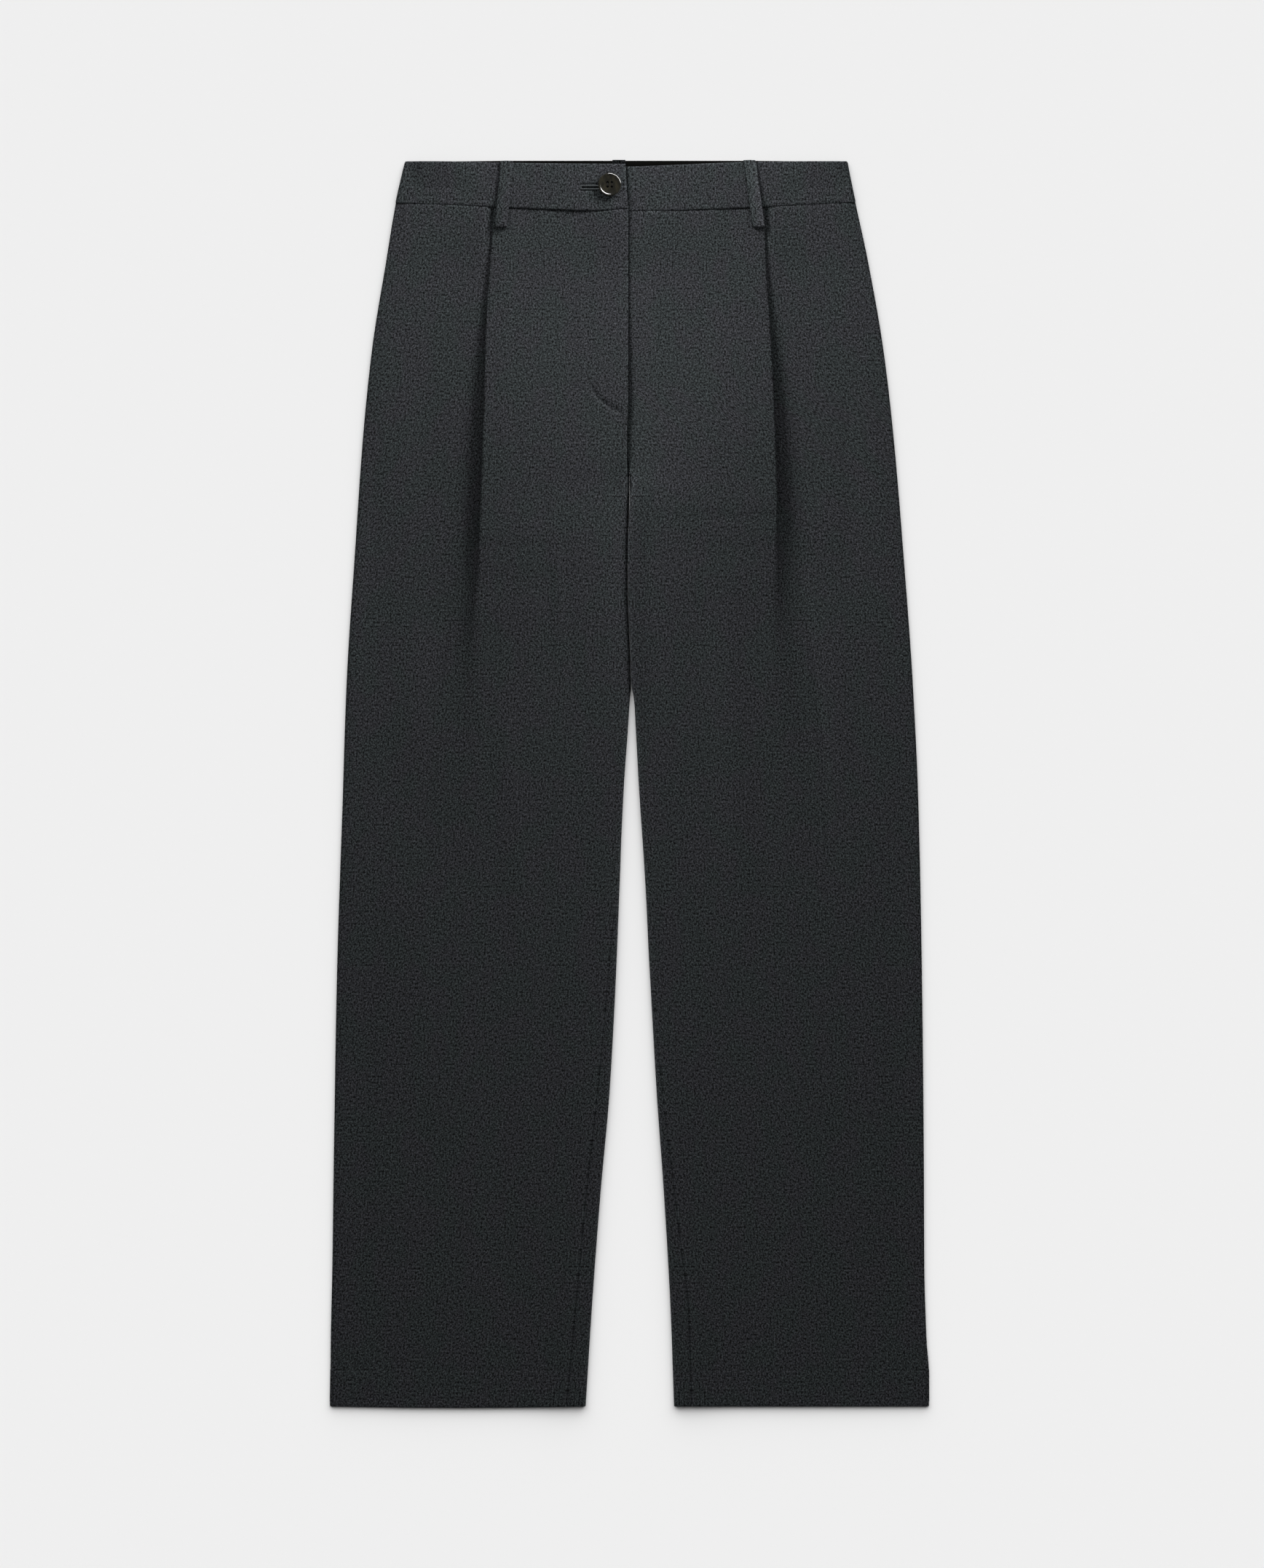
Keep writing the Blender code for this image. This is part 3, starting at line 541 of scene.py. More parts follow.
class Recipe:
    """A material in the making: its nodes and its principled shader."""

    def __init__(self, name: str) -> None:
        """Starts an empty material."""
        self.material = bpy.data.materials.new(name)
        self.material.use_nodes = True
        self.tree = self.material.node_tree
        self.shader = self.tree.nodes["Principled BSDF"]

    def connect(self, node: bpy.types.Node, links: dict | None, values: dict | None) -> None:
        """Sets a node's inputs to values, and links sockets to others."""
        for key, value in (values or {}).items():
            node.inputs[key].default_value = value
        for key, socket in (links or {}).items():
            self.tree.links.new(socket, node.inputs[key])

    def add(
        self,
        kind: str,
        links: dict[str | int, Socket] | None = None,
        values: dict[str | int, object] | None = None,
        output: str | int = 0,
        **settings: object,
    ) -> Socket:
        """Adds a shader node.

        Args:
            kind: the node's type, without the words that all types start with.
            links: output sockets to link to its inputs.
            values: values for its inputs.
            output: the output that is wanted.
            **settings: its own properties.

        Returns:
            That output.
        """
        node = self.tree.nodes.new("ShaderNode" + kind)
        for key, value in settings.items():
            setattr(node, key, value)
        self.connect(node, links, values)
        return node.outputs[output]

    def spread(self, value: Socket, low: float, high: float, source: Flat = (0.0, 1.0)) -> Socket:
        """A value's source range spread from low to high."""
        ends = {"From Min": source[0], "From Max": source[1], "To Min": low, "To Max": high}
        return self.add("MapRange", {"Value": value}, ends)

    def blend(self, share: Socket, first: str, second: str) -> Socket:
        """A colour between two others."""
        return self.add("Mix", {0: share}, {6: srgb(first), 7: srgb(second)}, 2, data_type="RGBA")

    def ribs(self, place: Socket, pitch: float, direction: str, **more: float) -> Socket:
        """Ribs that run side by side, a pitch in millimetres apart."""
        values = {"Scale": WAVE_LENGTH / (pitch * MM), **more}
        return self.add("TexWave", {"Vector": place}, values, "Fac", bands_direction=direction)

    def shaded(self, colour: str, shade: Socket) -> Socket:
        """A colour, darker or lighter by a shade."""
        return self.add("VectorMath", {1: shade}, {0: srgb(colour)[:3]}, operation="MULTIPLY")

    def bump(self, height: Socket, strength: float, depth: float) -> Socket:
        """The normal of a surface with a relief, whose depth is in millimetres."""
        return self.add("Bump", {"Height": height}, {"Strength": strength, "Distance": depth * MM})

    def finish(self, links: dict[str, Socket], values: dict[str, object]) -> bpy.types.Material:
        """Gives the shader its inputs, and the material away."""
        self.connect(self.shader, links, values)
        return self.material


def place_object(name: str, data: bpy.types.ID) -> bpy.types.Object:
    """Puts an object into the scene."""
    item = bpy.data.objects.new(name, data)
    bpy.context.scene.collection.objects.link(item)
    return item


def place_mesh(name: str, mesh: Mesh, unit: float = MM) -> bpy.types.Object:
    """Puts a bmesh, which is freed, into the scene."""
    bmesh.ops.scale(mesh, vec=(unit, unit, unit), verts=mesh.verts)
    data = bpy.data.meshes.new(name)
    mesh.to_mesh(data)
    mesh.free()
    return place_object(name, data)


def finish_object(name: str, mesh: Mesh, slot: Slot, *materials: bpy.types.Material) -> bpy.types.Object:
    """Makes an object of a bmesh in millimetres, with the finish it takes.

    Args:
        name: the piece's name.
        mesh: its bmesh, which is freed.
        slot: the record's slot for it; not used.
        *materials: its materials.

    Returns:
        The object, which rides on the trousers.
    """
    piece = place_mesh(name, mesh)
    for material in materials:
        piece.data.materials.append(material)
    piece.data.shade_smooth()
    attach(piece, "root")
    LOG.info("%s: %d faces", name, len(piece.data.polygons))
    return piece


def cut_out(piece: bpy.types.Object, shape: Mesh) -> None:
    """Takes a shape in millimetres, which is freed, out of a piece."""
    cutter = place_mesh("cutter", shape)
    cut = piece.modifiers.new("cut", "BOOLEAN")
    cut.operation = "DIFFERENCE"
    cut.solver = "EXACT"
    cut.object = cutter
    bpy.context.view_layer.update()
    shown = piece.evaluated_get(bpy.context.evaluated_depsgraph_get())
    data = bpy.data.meshes.new_from_object(shown)
    data.name = piece.name
    piece.modifiers.remove(cut)
    piece.data = data
    bpy.data.objects.remove(cutter, do_unlink=True)


def cloth_grid(rows: Sequence[Sequence[Spot]], weave: Sequence[Sequence[Flat]], out: Vector) -> Mesh:
    """A sheet of cloth laid over rows of points, with its weave's own coordinates.

    Args:
        rows: points in millimetres, as many in each row.
        weave: for each point its place in the cut cloth, in millimetres.
        out: the way that the middle of the sheet faces.

    Returns:
        The sheet's bmesh.
    """
    mesh = bmesh.new()
    across = len(rows[0])
    bmesh.ops.create_grid(mesh, x_segments=across - 1, y_segments=len(rows) - 1, size=1)
    mesh.verts.ensure_lookup_table()
    for index, vert in enumerate(mesh.verts):
        vert.co = rows[index // across][index % across]
    layer = mesh.loops.layers.uv.new("weave")
    for face in mesh.faces:
        for loop in face.loops:
            row, column = divmod(loop.vert.index, across)
            loop[layer].uv = (weave[row][column][0] * MM, weave[row][column][1] * MM)
    mesh.normal_update()
    mesh.faces.ensure_lookup_table()
    middle = mesh.faces[len(mesh.faces) // 2 + across // 2]
    if middle.normal.dot(out) < 0:
        bmesh.ops.reverse_faces(mesh, faces=mesh.faces)
    return mesh


def closed_strip(rings: Sequence[Sequence[Spot]], weave: Sequence[Sequence[Flat]]) -> Mesh:
    """A closed strip through rings of points, with its ends filled.

    Args:
        rings: points in millimetres, as many in each ring.
        weave: for each point its place in the cut cloth.

    Returns:
        The strip's bmesh, with its faces pointing out.
    """
    mesh = cloth_grid([[*ring, ring[0]] for ring in rings], [[*row, row[0]] for row in weave], UP)
    bmesh.ops.remove_doubles(mesh, verts=mesh.verts, dist=WELD)
    ends = [edge for edge in mesh.edges if edge.is_boundary]
    bmesh.ops.holes_fill(mesh, edges=ends, sides=0)
    bmesh.ops.recalc_face_normals(mesh, faces=mesh.faces)
    return mesh


class Cut(NamedTuple):
    """A piece of cloth before it was folded or laid, in millimetres."""

    width: float
    length: float
    area: float


def panel_cut(weave: Sequence[Sequence[Flat]]) -> Cut:
    """The cut of a panel, from its weave's coordinates."""
    widths = [row[-1][0] for row in weave]
    downs = [row[0][1] for row in weave]
    area = sum(
        (above + below) / 2 * (low - high)
        for above, below, high, low in zip(widths, widths[1:], downs, downs[1:])
    )
    return Cut(max(widths), downs[-1] - downs[0], area)


def strip_cut(rings: Sequence[Sequence[Spot]]) -> Cut:
    """The cut of the face that shows of a folded strip, half of what goes round it."""
    rounds = [lengths([*ring, ring[0]])[-1] / 2 for ring in rings]
    along = [lengths([ring[k] for ring in rings])[-1] for k in range(len(rings[0]))]
    return Cut(max(rounds), max(along), sum(rounds) / len(rounds) * sum(along) / len(along))


def lay_strip(
    stations: int, section: Sequence[Flat], place: Callable[[int, int], tuple[Spot, Flat]]
) -> tuple[Mesh, Cut]:
    """Lays a folded strip through one ring of points at each station.

    Args:
        stations: how many rings it has.
        section: the points of its section.
        place: gives a station's point in space, and its place in the cut cloth.

    Returns:
        The strip's bmesh and its cut.
    """
    placed = [[place(k, corner) for corner in range(len(section))] for k in range(stations)]
    rings = [[spot for spot, _ in ring] for ring in placed]
    weave = [[flat for _, flat in ring] for ring in placed]
    return closed_strip(rings, weave), strip_cut(rings)


class Sheet(NamedTuple):
    """A piece of cloth: its name, the solid that it stands for, and how it lies."""

    name: str
    node: str
    held: Held
    rests_on: tuple[str, ...] = ()

    def finish(self, mesh: Mesh, cut: Cut, *materials: bpy.types.Material) -> bpy.types.Object:
        """Puts the cloth in place of its solid, and says which cut it was laid or folded from.

        Args:
            mesh: its bmesh in millimetres, a single layer where it is laid.
            cut: its size before it was laid or folded.
            *materials: its materials.

        Returns:
            The piece.
        """
        piece = finish_object(self.name, mesh, Slot.CLOTH, *materials)
        if self.held is Held.LAID:
            wall = piece.modifiers.new("thickness", "SOLIDIFY")
            wall.thickness = CLOTH * MM
            wall.offset = 0.0
            wall.use_even_offset = True
        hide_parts(self.node)
        list(self.rests_on)
        LOG.info("%s: cut %.0f x %.0f mm, %.0f cm2", self.name, cut.width, cut.length, cut.area / 100)
        return piece


# ---------------------------------------------------------------------------------------
# Materials
# ---------------------------------------------------------------------------------------


@dataclass(frozen=True)
class WorstedTwill:
    """Worsted wool twill in charcoal mélange, woven from grey and dark dyed tops.

    The mixed fibres give the eye a fine salt-and-pepper grain over slow changes between a
    greener and a more neutral grey, and the milled face gives it a dull, even look.
    """

    name: str = "worsted_wool_twill"
    neutral: str = "#2d2e31"
    green: str = "#2b2f30"
    fleck: float = 1.4  # mm, width of a cluster of mixed fibres
    fleck_length: float = 1.7  # mm, its length along the warp
    fleck_spread: float = 0.25  # of the noise, from the darkest to the mean
    fibre: float = 0.8  # mm, width of the finest flecks
    darkest: float = 0.04  # share of the colour
    lightest: float = 2.02
    fibre_tones: Flat = (0.5, 1.5)  # what the finest flecks make of that
    cloud: float = 26.0  # mm, size of the slow changes of hue
    cloud_edges: Flat = (0.38, 0.62)
    twill: float = 0.9  # mm, between the twill's diagonal ribs
    twill_angle: float = 27.0
    relief: float = 0.08
    roughness: float = 0.9
    specular: float = 0.12

    def build(self) -> bpy.types.Material:
        """Builds the material on the cloth's own weave coordinates."""
        recipe = Recipe(self.name)
        weave = recipe.add("UVMap", uv_map="weave")
        source = (0.5 - self.fleck_spread, 0.5 + self.fleck_spread)

        def spots(width: float, length: float, detail: float) -> Socket:
            """Noise whose spots have a width and a length in millimetres."""
            scale = (1 / (width * MM), 1 / (length * MM), 1.0)
            stretched = recipe.add("Mapping", {"Vector": weave}, {"Scale": scale})
            values = {"Scale": 1.0, "Detail": detail, "Roughness": 0.55}
            return recipe.add("TexNoise", {"Vector": stretched}, values, "Fac", noise_dimensions="2D")

        clusters = spots(self.fleck, self.fleck_length, 1.0)
        mixed = recipe.spread(clusters, self.darkest, self.lightest, source)
        fine = recipe.spread(spots(self.fibre, self.fibre * 1.3, 0.0), *self.fibre_tones, source)
        tone = recipe.add("Math", {0: mixed, 1: fine}, operation="MULTIPLY")
        share = recipe.spread(spots(self.cloud, self.cloud * 1.5, 2.0), 0.0, 1.0, self.cloud_edges)
        hue = recipe.blend(share, self.neutral, self.green)
        colour = recipe.add("VectorMath", {0: hue, 1: tone}, operation="MULTIPLY")

        turn = {"Rotation": (0, 0, math.radians(self.twill_angle))}
        turned = recipe.add("Mapping", {"Vector": weave}, turn)
        ribs = recipe.ribs(turned, self.twill, "X", Distortion=0.6, Detail=1.0)
        height = recipe.add("Math", {0: ribs, 1: clusters}, operation="ADD")
        return recipe.finish(
            {"Base Color": colour, "Normal": recipe.bump(height, 0.3, self.relief)},
            {"Roughness": self.roughness, "Specular IOR Level": self.specular},
        )


@dataclass(frozen=True)
class LiningTwill:
    """Viscose lining twill, dark olive brown: the waistband's curtain, smooth and a little dull. Its
    colour is darker than the lining's own, as painted shade on the strip inside the back band.
    """

    name: str = "viscose_lining_twill"
    # near black: the lining's dark olive, darkened further as painted shade for the strip inside the
    # back band
    colour: str = "#131310"
    rib: float = 0.6  # mm, between its diagonal ribs
    tones: Flat = (0.8, 1.2)
    roughness: float = 0.85
    specular: float = 0.2

    def build(self) -> bpy.types.Material:
        """Builds the material on the cloth's own weave coordinates."""
        recipe = Recipe(self.name)
        ribs = recipe.ribs(recipe.add("UVMap", uv_map="weave"), self.rib, "DIAGONAL")
        return recipe.finish(
            {"Base Color": recipe.shaded(self.colour, recipe.spread(ribs, *self.tones))},
            {"Roughness": self.roughness, "Specular IOR Level": self.specular},
        )


@dataclass(frozen=True)
class SpunThread:
    """Spun polyester thread, dyed to match: dull, a shade darker, with a rope's twist."""

    name: str = "spun_polyester_thread"
    colour: str = "#0b0c0c"
    twist: float = 0.5  # mm, between the plies' ridges
    tones: Flat = (0.8, 1.15)
    relief: float = 0.05
    roughness: float = 0.7

    def build(self) -> bpy.types.Material:
        """Builds the material on the piece's place."""
        recipe = Recipe(self.name)
        plies = recipe.ribs(recipe.add("TexCoord", output="Object"), self.twist, "DIAGONAL")
        colour = recipe.shaded(self.colour, recipe.spread(plies, *self.tones))
        return recipe.finish(
            {"Base Color": colour, "Normal": recipe.bump(plies, 0.4, self.relief)},
            {"Roughness": self.roughness},
        )


@dataclass(frozen=True)
class HornResin:
    """Polyester resin cast to look like buffalo horn, turned and tumbled to a shine.

    Its slow brown streaks show only faintly, and its polish gives sharp highlights on the rim.
    """

    name: str = "polished_horn_resin"
    dark: str = "#181712"
    streak: str = "#2e2b20"
    streak_width: float = 2.4  # mm
    streak_angle: float = 35.0
    streak_edges: Flat = (0.42, 0.75)
    roughness: float = 0.13
    wear: Flat = (-0.05, 0.1)  # how much smoother and rougher it is in places

    def build(self) -> bpy.types.Material:
        """Builds the material on the piece's place."""
        recipe = Recipe(self.name)
        stretch = {"Rotation": (0, 0, math.radians(self.streak_angle)), "Scale": (1.0, 0.35, 1.0)}
        drawn = recipe.add("Mapping", {"Vector": recipe.add("TexCoord", output="Object")}, stretch)
        values = {"Scale": 1 / (self.streak_width * MM), "Detail": 3.0, "Roughness": 0.6}
        clouds = recipe.add("TexNoise", {"Vector": drawn}, values, "Fac")
        share = recipe.spread(clouds, 0.0, 1.0, self.streak_edges)
        rub = recipe.spread(clouds, *(self.roughness + wear for wear in self.wear))
        return recipe.finish(
            {"Base Color": recipe.blend(share, self.dark, self.streak), "Roughness": rub},
            {"IOR": 1.54, "Coat Weight": 0.3, "Coat Roughness": 0.1},
        )


@dataclass(frozen=True)
class Finishes:
    """The materials that the pieces share."""

    wool: bpy.types.Material
    # the waistband's lining, its colour partly painted shade
    lining: bpy.types.Material
    thread: bpy.types.Material
    purl: bpy.types.Material
    horn: bpy.types.Material


# ---------------------------------------------------------------------------------------
# The form that the panels lie in
# ---------------------------------------------------------------------------------------


@dataclass
class Lie:
    """How the cloth lies: heights and edges of every section, by side and distance down."""

    side: Side
    fly_lift: float = 2.5
    fly_lift_width: float = 38.0
    band_lift: float = 0.7
    band_lift_fade: float = 62.0
    band_level: float = 4.8  # middle of a panel where it meets the waistband beside the pleat
    band_rise: float = 8.0  # how wide its rise from the pleat is
    rise_start: float = 2.0
    ripple: float = 0.28  # of the slow unevenness all over
    ripple_size: float = 46.0
    small_ripple: float = 0.22  # share of the finer unevenness in it
    small_ripple_size: float = 13.8
    tuck: float = 2.4  # cloth that goes under the waistband
    tuck_drop: float = 1.4
    tuck_slope: float = 2.2  # how far down the drop reaches
    tuck_reach: float = 3.0  # height above the laid layers at which all of that drop is made
    hem_line_depth: float = 0.16
    hem_line_width: float = 1.4

    def edge(self, table: Table, down: float) -> float:
        """A table's column for this side."""
        return table.read(self.side.word, down)

    def waist_seam(self, across: float, back: bool = False) -> float:
        """How far down the waistband's lower edge is."""
        return back_band_bottom(self.side, across) if back else band_edge(self.side, "bottom", across)

    def drop(self, down: float) -> float:
        """How much a front sinks: into the seam under the waistband, and along the hem's line."""
        into_seam = self.tuck_drop * (1 - crown((down - PANEL_TOP + TUCK_START) / self.tuck_slope))
        return into_seam + self.hem_line_depth * gauss(down - HEM + HEM_TURN_UP, self.hem_line_width)

    def place(self, across: float, down: float, height: float, back: bool = False) -> Spot:
        """A panel's point in space, its top following the waist seam and its hem a belly."""
        sag = self.waist_seam(across, back) - PANEL_TOP
        low = down + sag * (1 - ease((down - PANEL_TOP) / SEAM_FADE))
        inner, outer = self.edge(INNER_EDGE, HEM), self.edge(OUTER_EDGE, HEM)
        share = held_share((across - inner) / (outer - inner))
        belly = HEM_BELLY[self.side] * math.sin(math.pi * share)
        low += belly * ease((down - HEM + HEM_TURN_UP) / HEM_TURN_UP)
        return (self.side.value * across, MIDDLE - low, height)

    def to_band(self, down: float) -> float:
        """1 at the waistband, falling softly to 0 below it."""
        return 1 - ease((down - PANEL_TOP) / self.band_lift_fade)

    def lift(self, across: float, down: float) -> float:
        """How much the fronts rise to the waistband, most of all at the centre."""
        return (self.fly_lift * gauss(across, self.fly_lift_width) + self.band_lift) * self.to_band(down)

    def folds(self, across: float, down: float) -> float:
        """What the folds and puckers add to a front's height."""
        total = 0.0
        for fold in FOLDS:
            if fold.side is not self.side or not fold.down_from < down < fold.down_to:
                continue
            along = (down - fold.down_from) / (fold.down_to - fold.down_from)
            middle = mix(fold.across_from, fold.across_to, along) + fold.bow * math.sin(math.pi * along)
            off = bell(across - middle, fold.half_width * mix(*FOLD_WIDENS, along))
            total += fold.height * off * ease(along / FOLD_END) * ease((1 - along) / FOLD_END)
        for pucker in PUCKERS:
            if pucker.side is not self.side or abs(down - pucker.down) > pucker.length:
                continue
            slant = math.radians(pucker.slant)
            east, south = across - pucker.across, down - pucker.down
            along = east * math.cos(slant) + south * math.sin(slant)
            beside = south * math.cos(slant) - east * math.sin(slant)
            total += pucker.height * bell(along, pucker.length / 2) * bell(beside, pucker.half_width)
        return total

    def unevenness(self, across: float, down: float) -> float:
        """Slow unevenness that no laid cloth is without, longer down the leg than across it."""
        slow = Vector((self.side.value * across, down * 0.45, 7.0)) / self.ripple_size
        small = Vector((self.side.value * across, down * 0.7, 3.0)) / self.small_ripple_size
        return self.ripple * (noise.noise(slow) + self.small_ripple * noise.noise(small))

    def round_side(self, extreme: float, way: float, inner: bool) -> Flat:
        """The middle line round a leg's side, by its length from the side's extreme."""
        roll, radius = (INNER_ROLL, INNER_RADIUS) if inner else (OUTER_ROLL, OUTER_RADIUS)
        inward = 1 if inner else -1
        if abs(way) > roll:
            level = BACK_HEIGHT + 2 * radius if way > 0 else BACK_HEIGHT
            return (extreme + inward * (radius + abs(way) - roll), level)
        angle = way / radius
        across = extreme + inward * radius * (1 - math.cos(angle))
        return (across, BACK_HEIGHT + radius * (1 + math.sin(angle)))

    def inner_way(self, down: float, way: float) -> Flat:
        """The same round the inner side at a distance down."""
        extreme = self.edge(INNER_EDGE, down) + HALF
        across, height = self.round_side(extreme, way, True)
        return (self.squeezed(across, extreme, down), height)

    def squeezed(self, across: float, extreme: float, down: float) -> float:
        """A place on the inner roll, which is narrower where it stands up at the seat seam."""
        return extreme + (across - extreme) * (1 - SEAT_SQUEEZE * self.edge(SEAT_RISE, down))

    def stand(self, path: Sequence[Flat], down: float) -> list[Flat]:
        """The path standing up beside the seat seam, where one leg is pushed over the other."""
        rise = self.edge(SEAT_RISE, down)
        if rise == 0:
            return list(path)
        edge = self.edge(INNER_EDGE, down)
        raised = []
        for across, height in path:
            here = rise * (1 - ease((across - edge) / SEAT_RISE_WIDTH))
            raised.append((across, BACK_HEIGHT + (height - BACK_HEIGHT) * (1 + here)))
        return raised

    def outer_rolled(self, down: float, upward: int, count: int) -> list[Flat]:
        """A panel's quarter round at its outer side, from its level part to the side seam."""
        extreme = self.edge(OUTER_EDGE, down) - HALF
        ways = [upward * way for way in steps(OUTER_ROLL, SEAM, count)]
        return [self.round_side(extreme, way, False) for way in ways]

    def curled(self, end: float, level: float, turn: float, count: int, upward: int) -> list[Flat]:
        """An edge that curls off its level by an angle, from its end inwards."""
        angle = math.radians(turn)
        radius = INNER_ROLL / angle
        points = []
        for share in steps(1.0, 0.0, count):
            across = end + radius * (math.sin(angle) - math.sin(angle * share))
            points.append((across, level + upward * radius * (1 - math.cos(angle * share))))
        return points


def sink_seams(path: list[Flat], first: bool, inward: float) -> list[Flat]:
    """Sinks a path's ends into their seams.

    Args:
        path: the middle line of the section, whose last end is always sewn.
        first: whether its first end is sewn to a neighbour, too.
        inward: the sign of the offset that leads into the garment.

    Returns:
        The path with sunk ends.
    """
    run = lengths(path)
    sunk = []
    for point, low, at in zip(path, offset(path, inward), run):
        depth = DITCH_DEPTH * gauss(at, DITCH_WIDTH) if first else 0.0
        depth += DITCH_DEPTH * gauss(run[-1] - at, DITCH_WIDTH)
        sunk.append((mix(point[0], low[0], depth), mix(point[1], low[1], depth)))
    return sunk


@dataclass
class FlyStitch:
    """The curved end of the fly's stitching, by its places on the right front."""

    turns: tuple[Flat, ...] = (
        (33.2, 182.0), (31.6, 188.0), (28.4, 193.0), (23.0, 198.6),
        (13.8, 205.1), (8.0, 207.2), (1.8, 207.8),
    )
    depth: float = 1.1
    width: float = 1.0  # of the groove's steep wall below the stitches
    slope_width: float = 3.0  # of its gentle slope above them
    starts: float = 178.0  # how far down the groove starts
    deepens: float = 14.0
    ends: float = 214.0
    reach: float = 36.0  # how far from the centre it can be felt
    facing: float = 33.0  # from the centre to the facing's edge inside
    facing_step: float = 0.3
    facing_soft: float = 8.0
    facing_down: float = 192.0
    facing_fade: float = 16.0
    pitch: float = 2.5
    stitch: Spot = (1.9, 0.4, 0.35)  # length, width and height of one
    below: float = 0.9  # from the groove's bottom to the stitches
    proud: float = 0.05  # how far their middles stand off the cloth

    def stitches(self) -> list[Spot]:
        """Where each stitch is: its place across and down, and its heading in the xy plane."""
        spots = []
        at = self.pitch / 2
        for start, end in zip(self.turns, self.turns[1:]):
            length = math.dist(start, end)
            heading = math.atan2(start[1] - end[1], start[0] - end[0])
            while at < length:
                across, down = (mix(low, high, at / length) for low, high in zip(start, end))
                side = (self.below * math.sin(heading), self.below * math.cos(heading))
                spots.append((across - side[0], down + side[1], heading))
                at += self.pitch
            at -= length
        return spots

    def distance(self, across: float, down: float) -> float:
        """How far a place is from the stitching's curve, negative on the facing's side."""
        spot = Vector((across, down))
        best, side = math.inf, 1.0
        for start, end in zip(self.turns, self.turns[1:]):
            first, way = Vector(start), Vector(end) - Vector(start)
            away = spot - first - way * held_share((spot - first).dot(way) / way.length_squared)
            if away.length < best:
                best, side = away.length, math.copysign(1.0, way.y * away.x - way.x * away.y)
        return best * side

    def relief(self, across: float, down: float) -> float:
        """What the stitching and the facing inside do to the right front's height."""
        over = 1 - ease((across - self.facing + self.facing_soft / 2) / self.facing_soft)
        total = self.facing_step * over * (1 - ease((down - self.facing_down) / self.facing_fade))
        if across < self.reach and self.starts < down < self.ends:
            away = self.distance(across, down)
            deep = gauss(away, self.width if away > 0 else self.slope_width)
            total -= self.depth * deep * ease((down - self.starts) / self.deepens)
        return total


@dataclass
class Panel:
    """A panel of a leg: a grid of rows from the waist to its turned-up hem."""

    NAME: ClassVar[str]
    INWARD: ClassVar[float]  # sign of the offset that leads into the garment
    HEM_STEPS: ClassVar[int]  # rows of the part that is turned up

    side: Side
    lie: Lie
    spots: list[list[Spot]] = field(default_factory=list)
    weave: list[list[Flat]] = field(default_factory=list)
    roll_steps: int = 7
    fold_steps: int = 6

    def path(self, down: float) -> list[Flat]:
        """The middle line of the section at a distance down."""
        raise NotImplementedError

    def section(self, down: float) -> list[Flat]:
        """The same with its sewn edges sunk into their seams."""
        raise NotImplementedError

    def turned_up(self, down: float) -> list[Flat]:
        """The section that the hem's turned-up part follows."""
        return self.section(down)

    def lay_body(self) -> None:
        """Lays the rows from the waist to the hem's fold."""
        raise NotImplementedError

    def add_row(
        self, path: list[Flat], down: float, v: float, inside: float = 0.0, tuck: float = 0.0
    ) -> None:
        """Adds a row of the grid.

        Args:
            path: the section's middle line.
            down: how far down the row is.
            v: its place along the cut cloth.
            inside: how far inside the middle line it lies.
            tuck: how much it sinks, where the whole of that is made.
        """
        reach = self.lie.tuck_reach
        moved = offset(path, self.INWARD * inside)
        sunk = [(x, z - tuck * ease((z - LAID_HEIGHT) / reach) if tuck else z) for x, z in moved]
        at_back = self.INWARD > 0
        self.spots.append([self.lie.place(across, down, height, at_back) for across, height in sunk])
        self.weave.append([(at, v) for at in lengths(path)])

    def build(self, finishes: Finishes) -> bpy.types.Object:
        """Builds the panel in place of its solid."""
        self.lay_body()
        fold_top, fold_length = HEM - HEM_FOLD, math.pi * HEM_FOLD
        last = self.section(fold_top)
        for share in steps(0.0, 1.0, self.fold_steps)[1:]:
            angle = share * math.pi
            down, inside = fold_top + HEM_FOLD * math.sin(angle), HEM_FOLD * (1 - math.cos(angle))
            self.add_row(last, down, fold_top + fold_length * share, inside)
        for up in steps(0.0, HEM_TURN_UP - HEM_FOLD, self.HEM_STEPS)[1:]:
            down = fold_top - up
            self.add_row(self.turned_up(down), down, HEM + fold_length + up, 2 * HEM_FOLD)
        mesh = cloth_grid(self.spots, self.weave, UP * -self.INWARD)
        word = self.side.word
        under = ("cloth_back_" + word,) if self.INWARD < 0 else ()
        sheet = Sheet(f"cloth_{self.NAME}_{word}", f"{self.NAME}_{word}", Held.LAID, under)
        return sheet.finish(mesh, panel_cut(self.weave), finishes.wool)


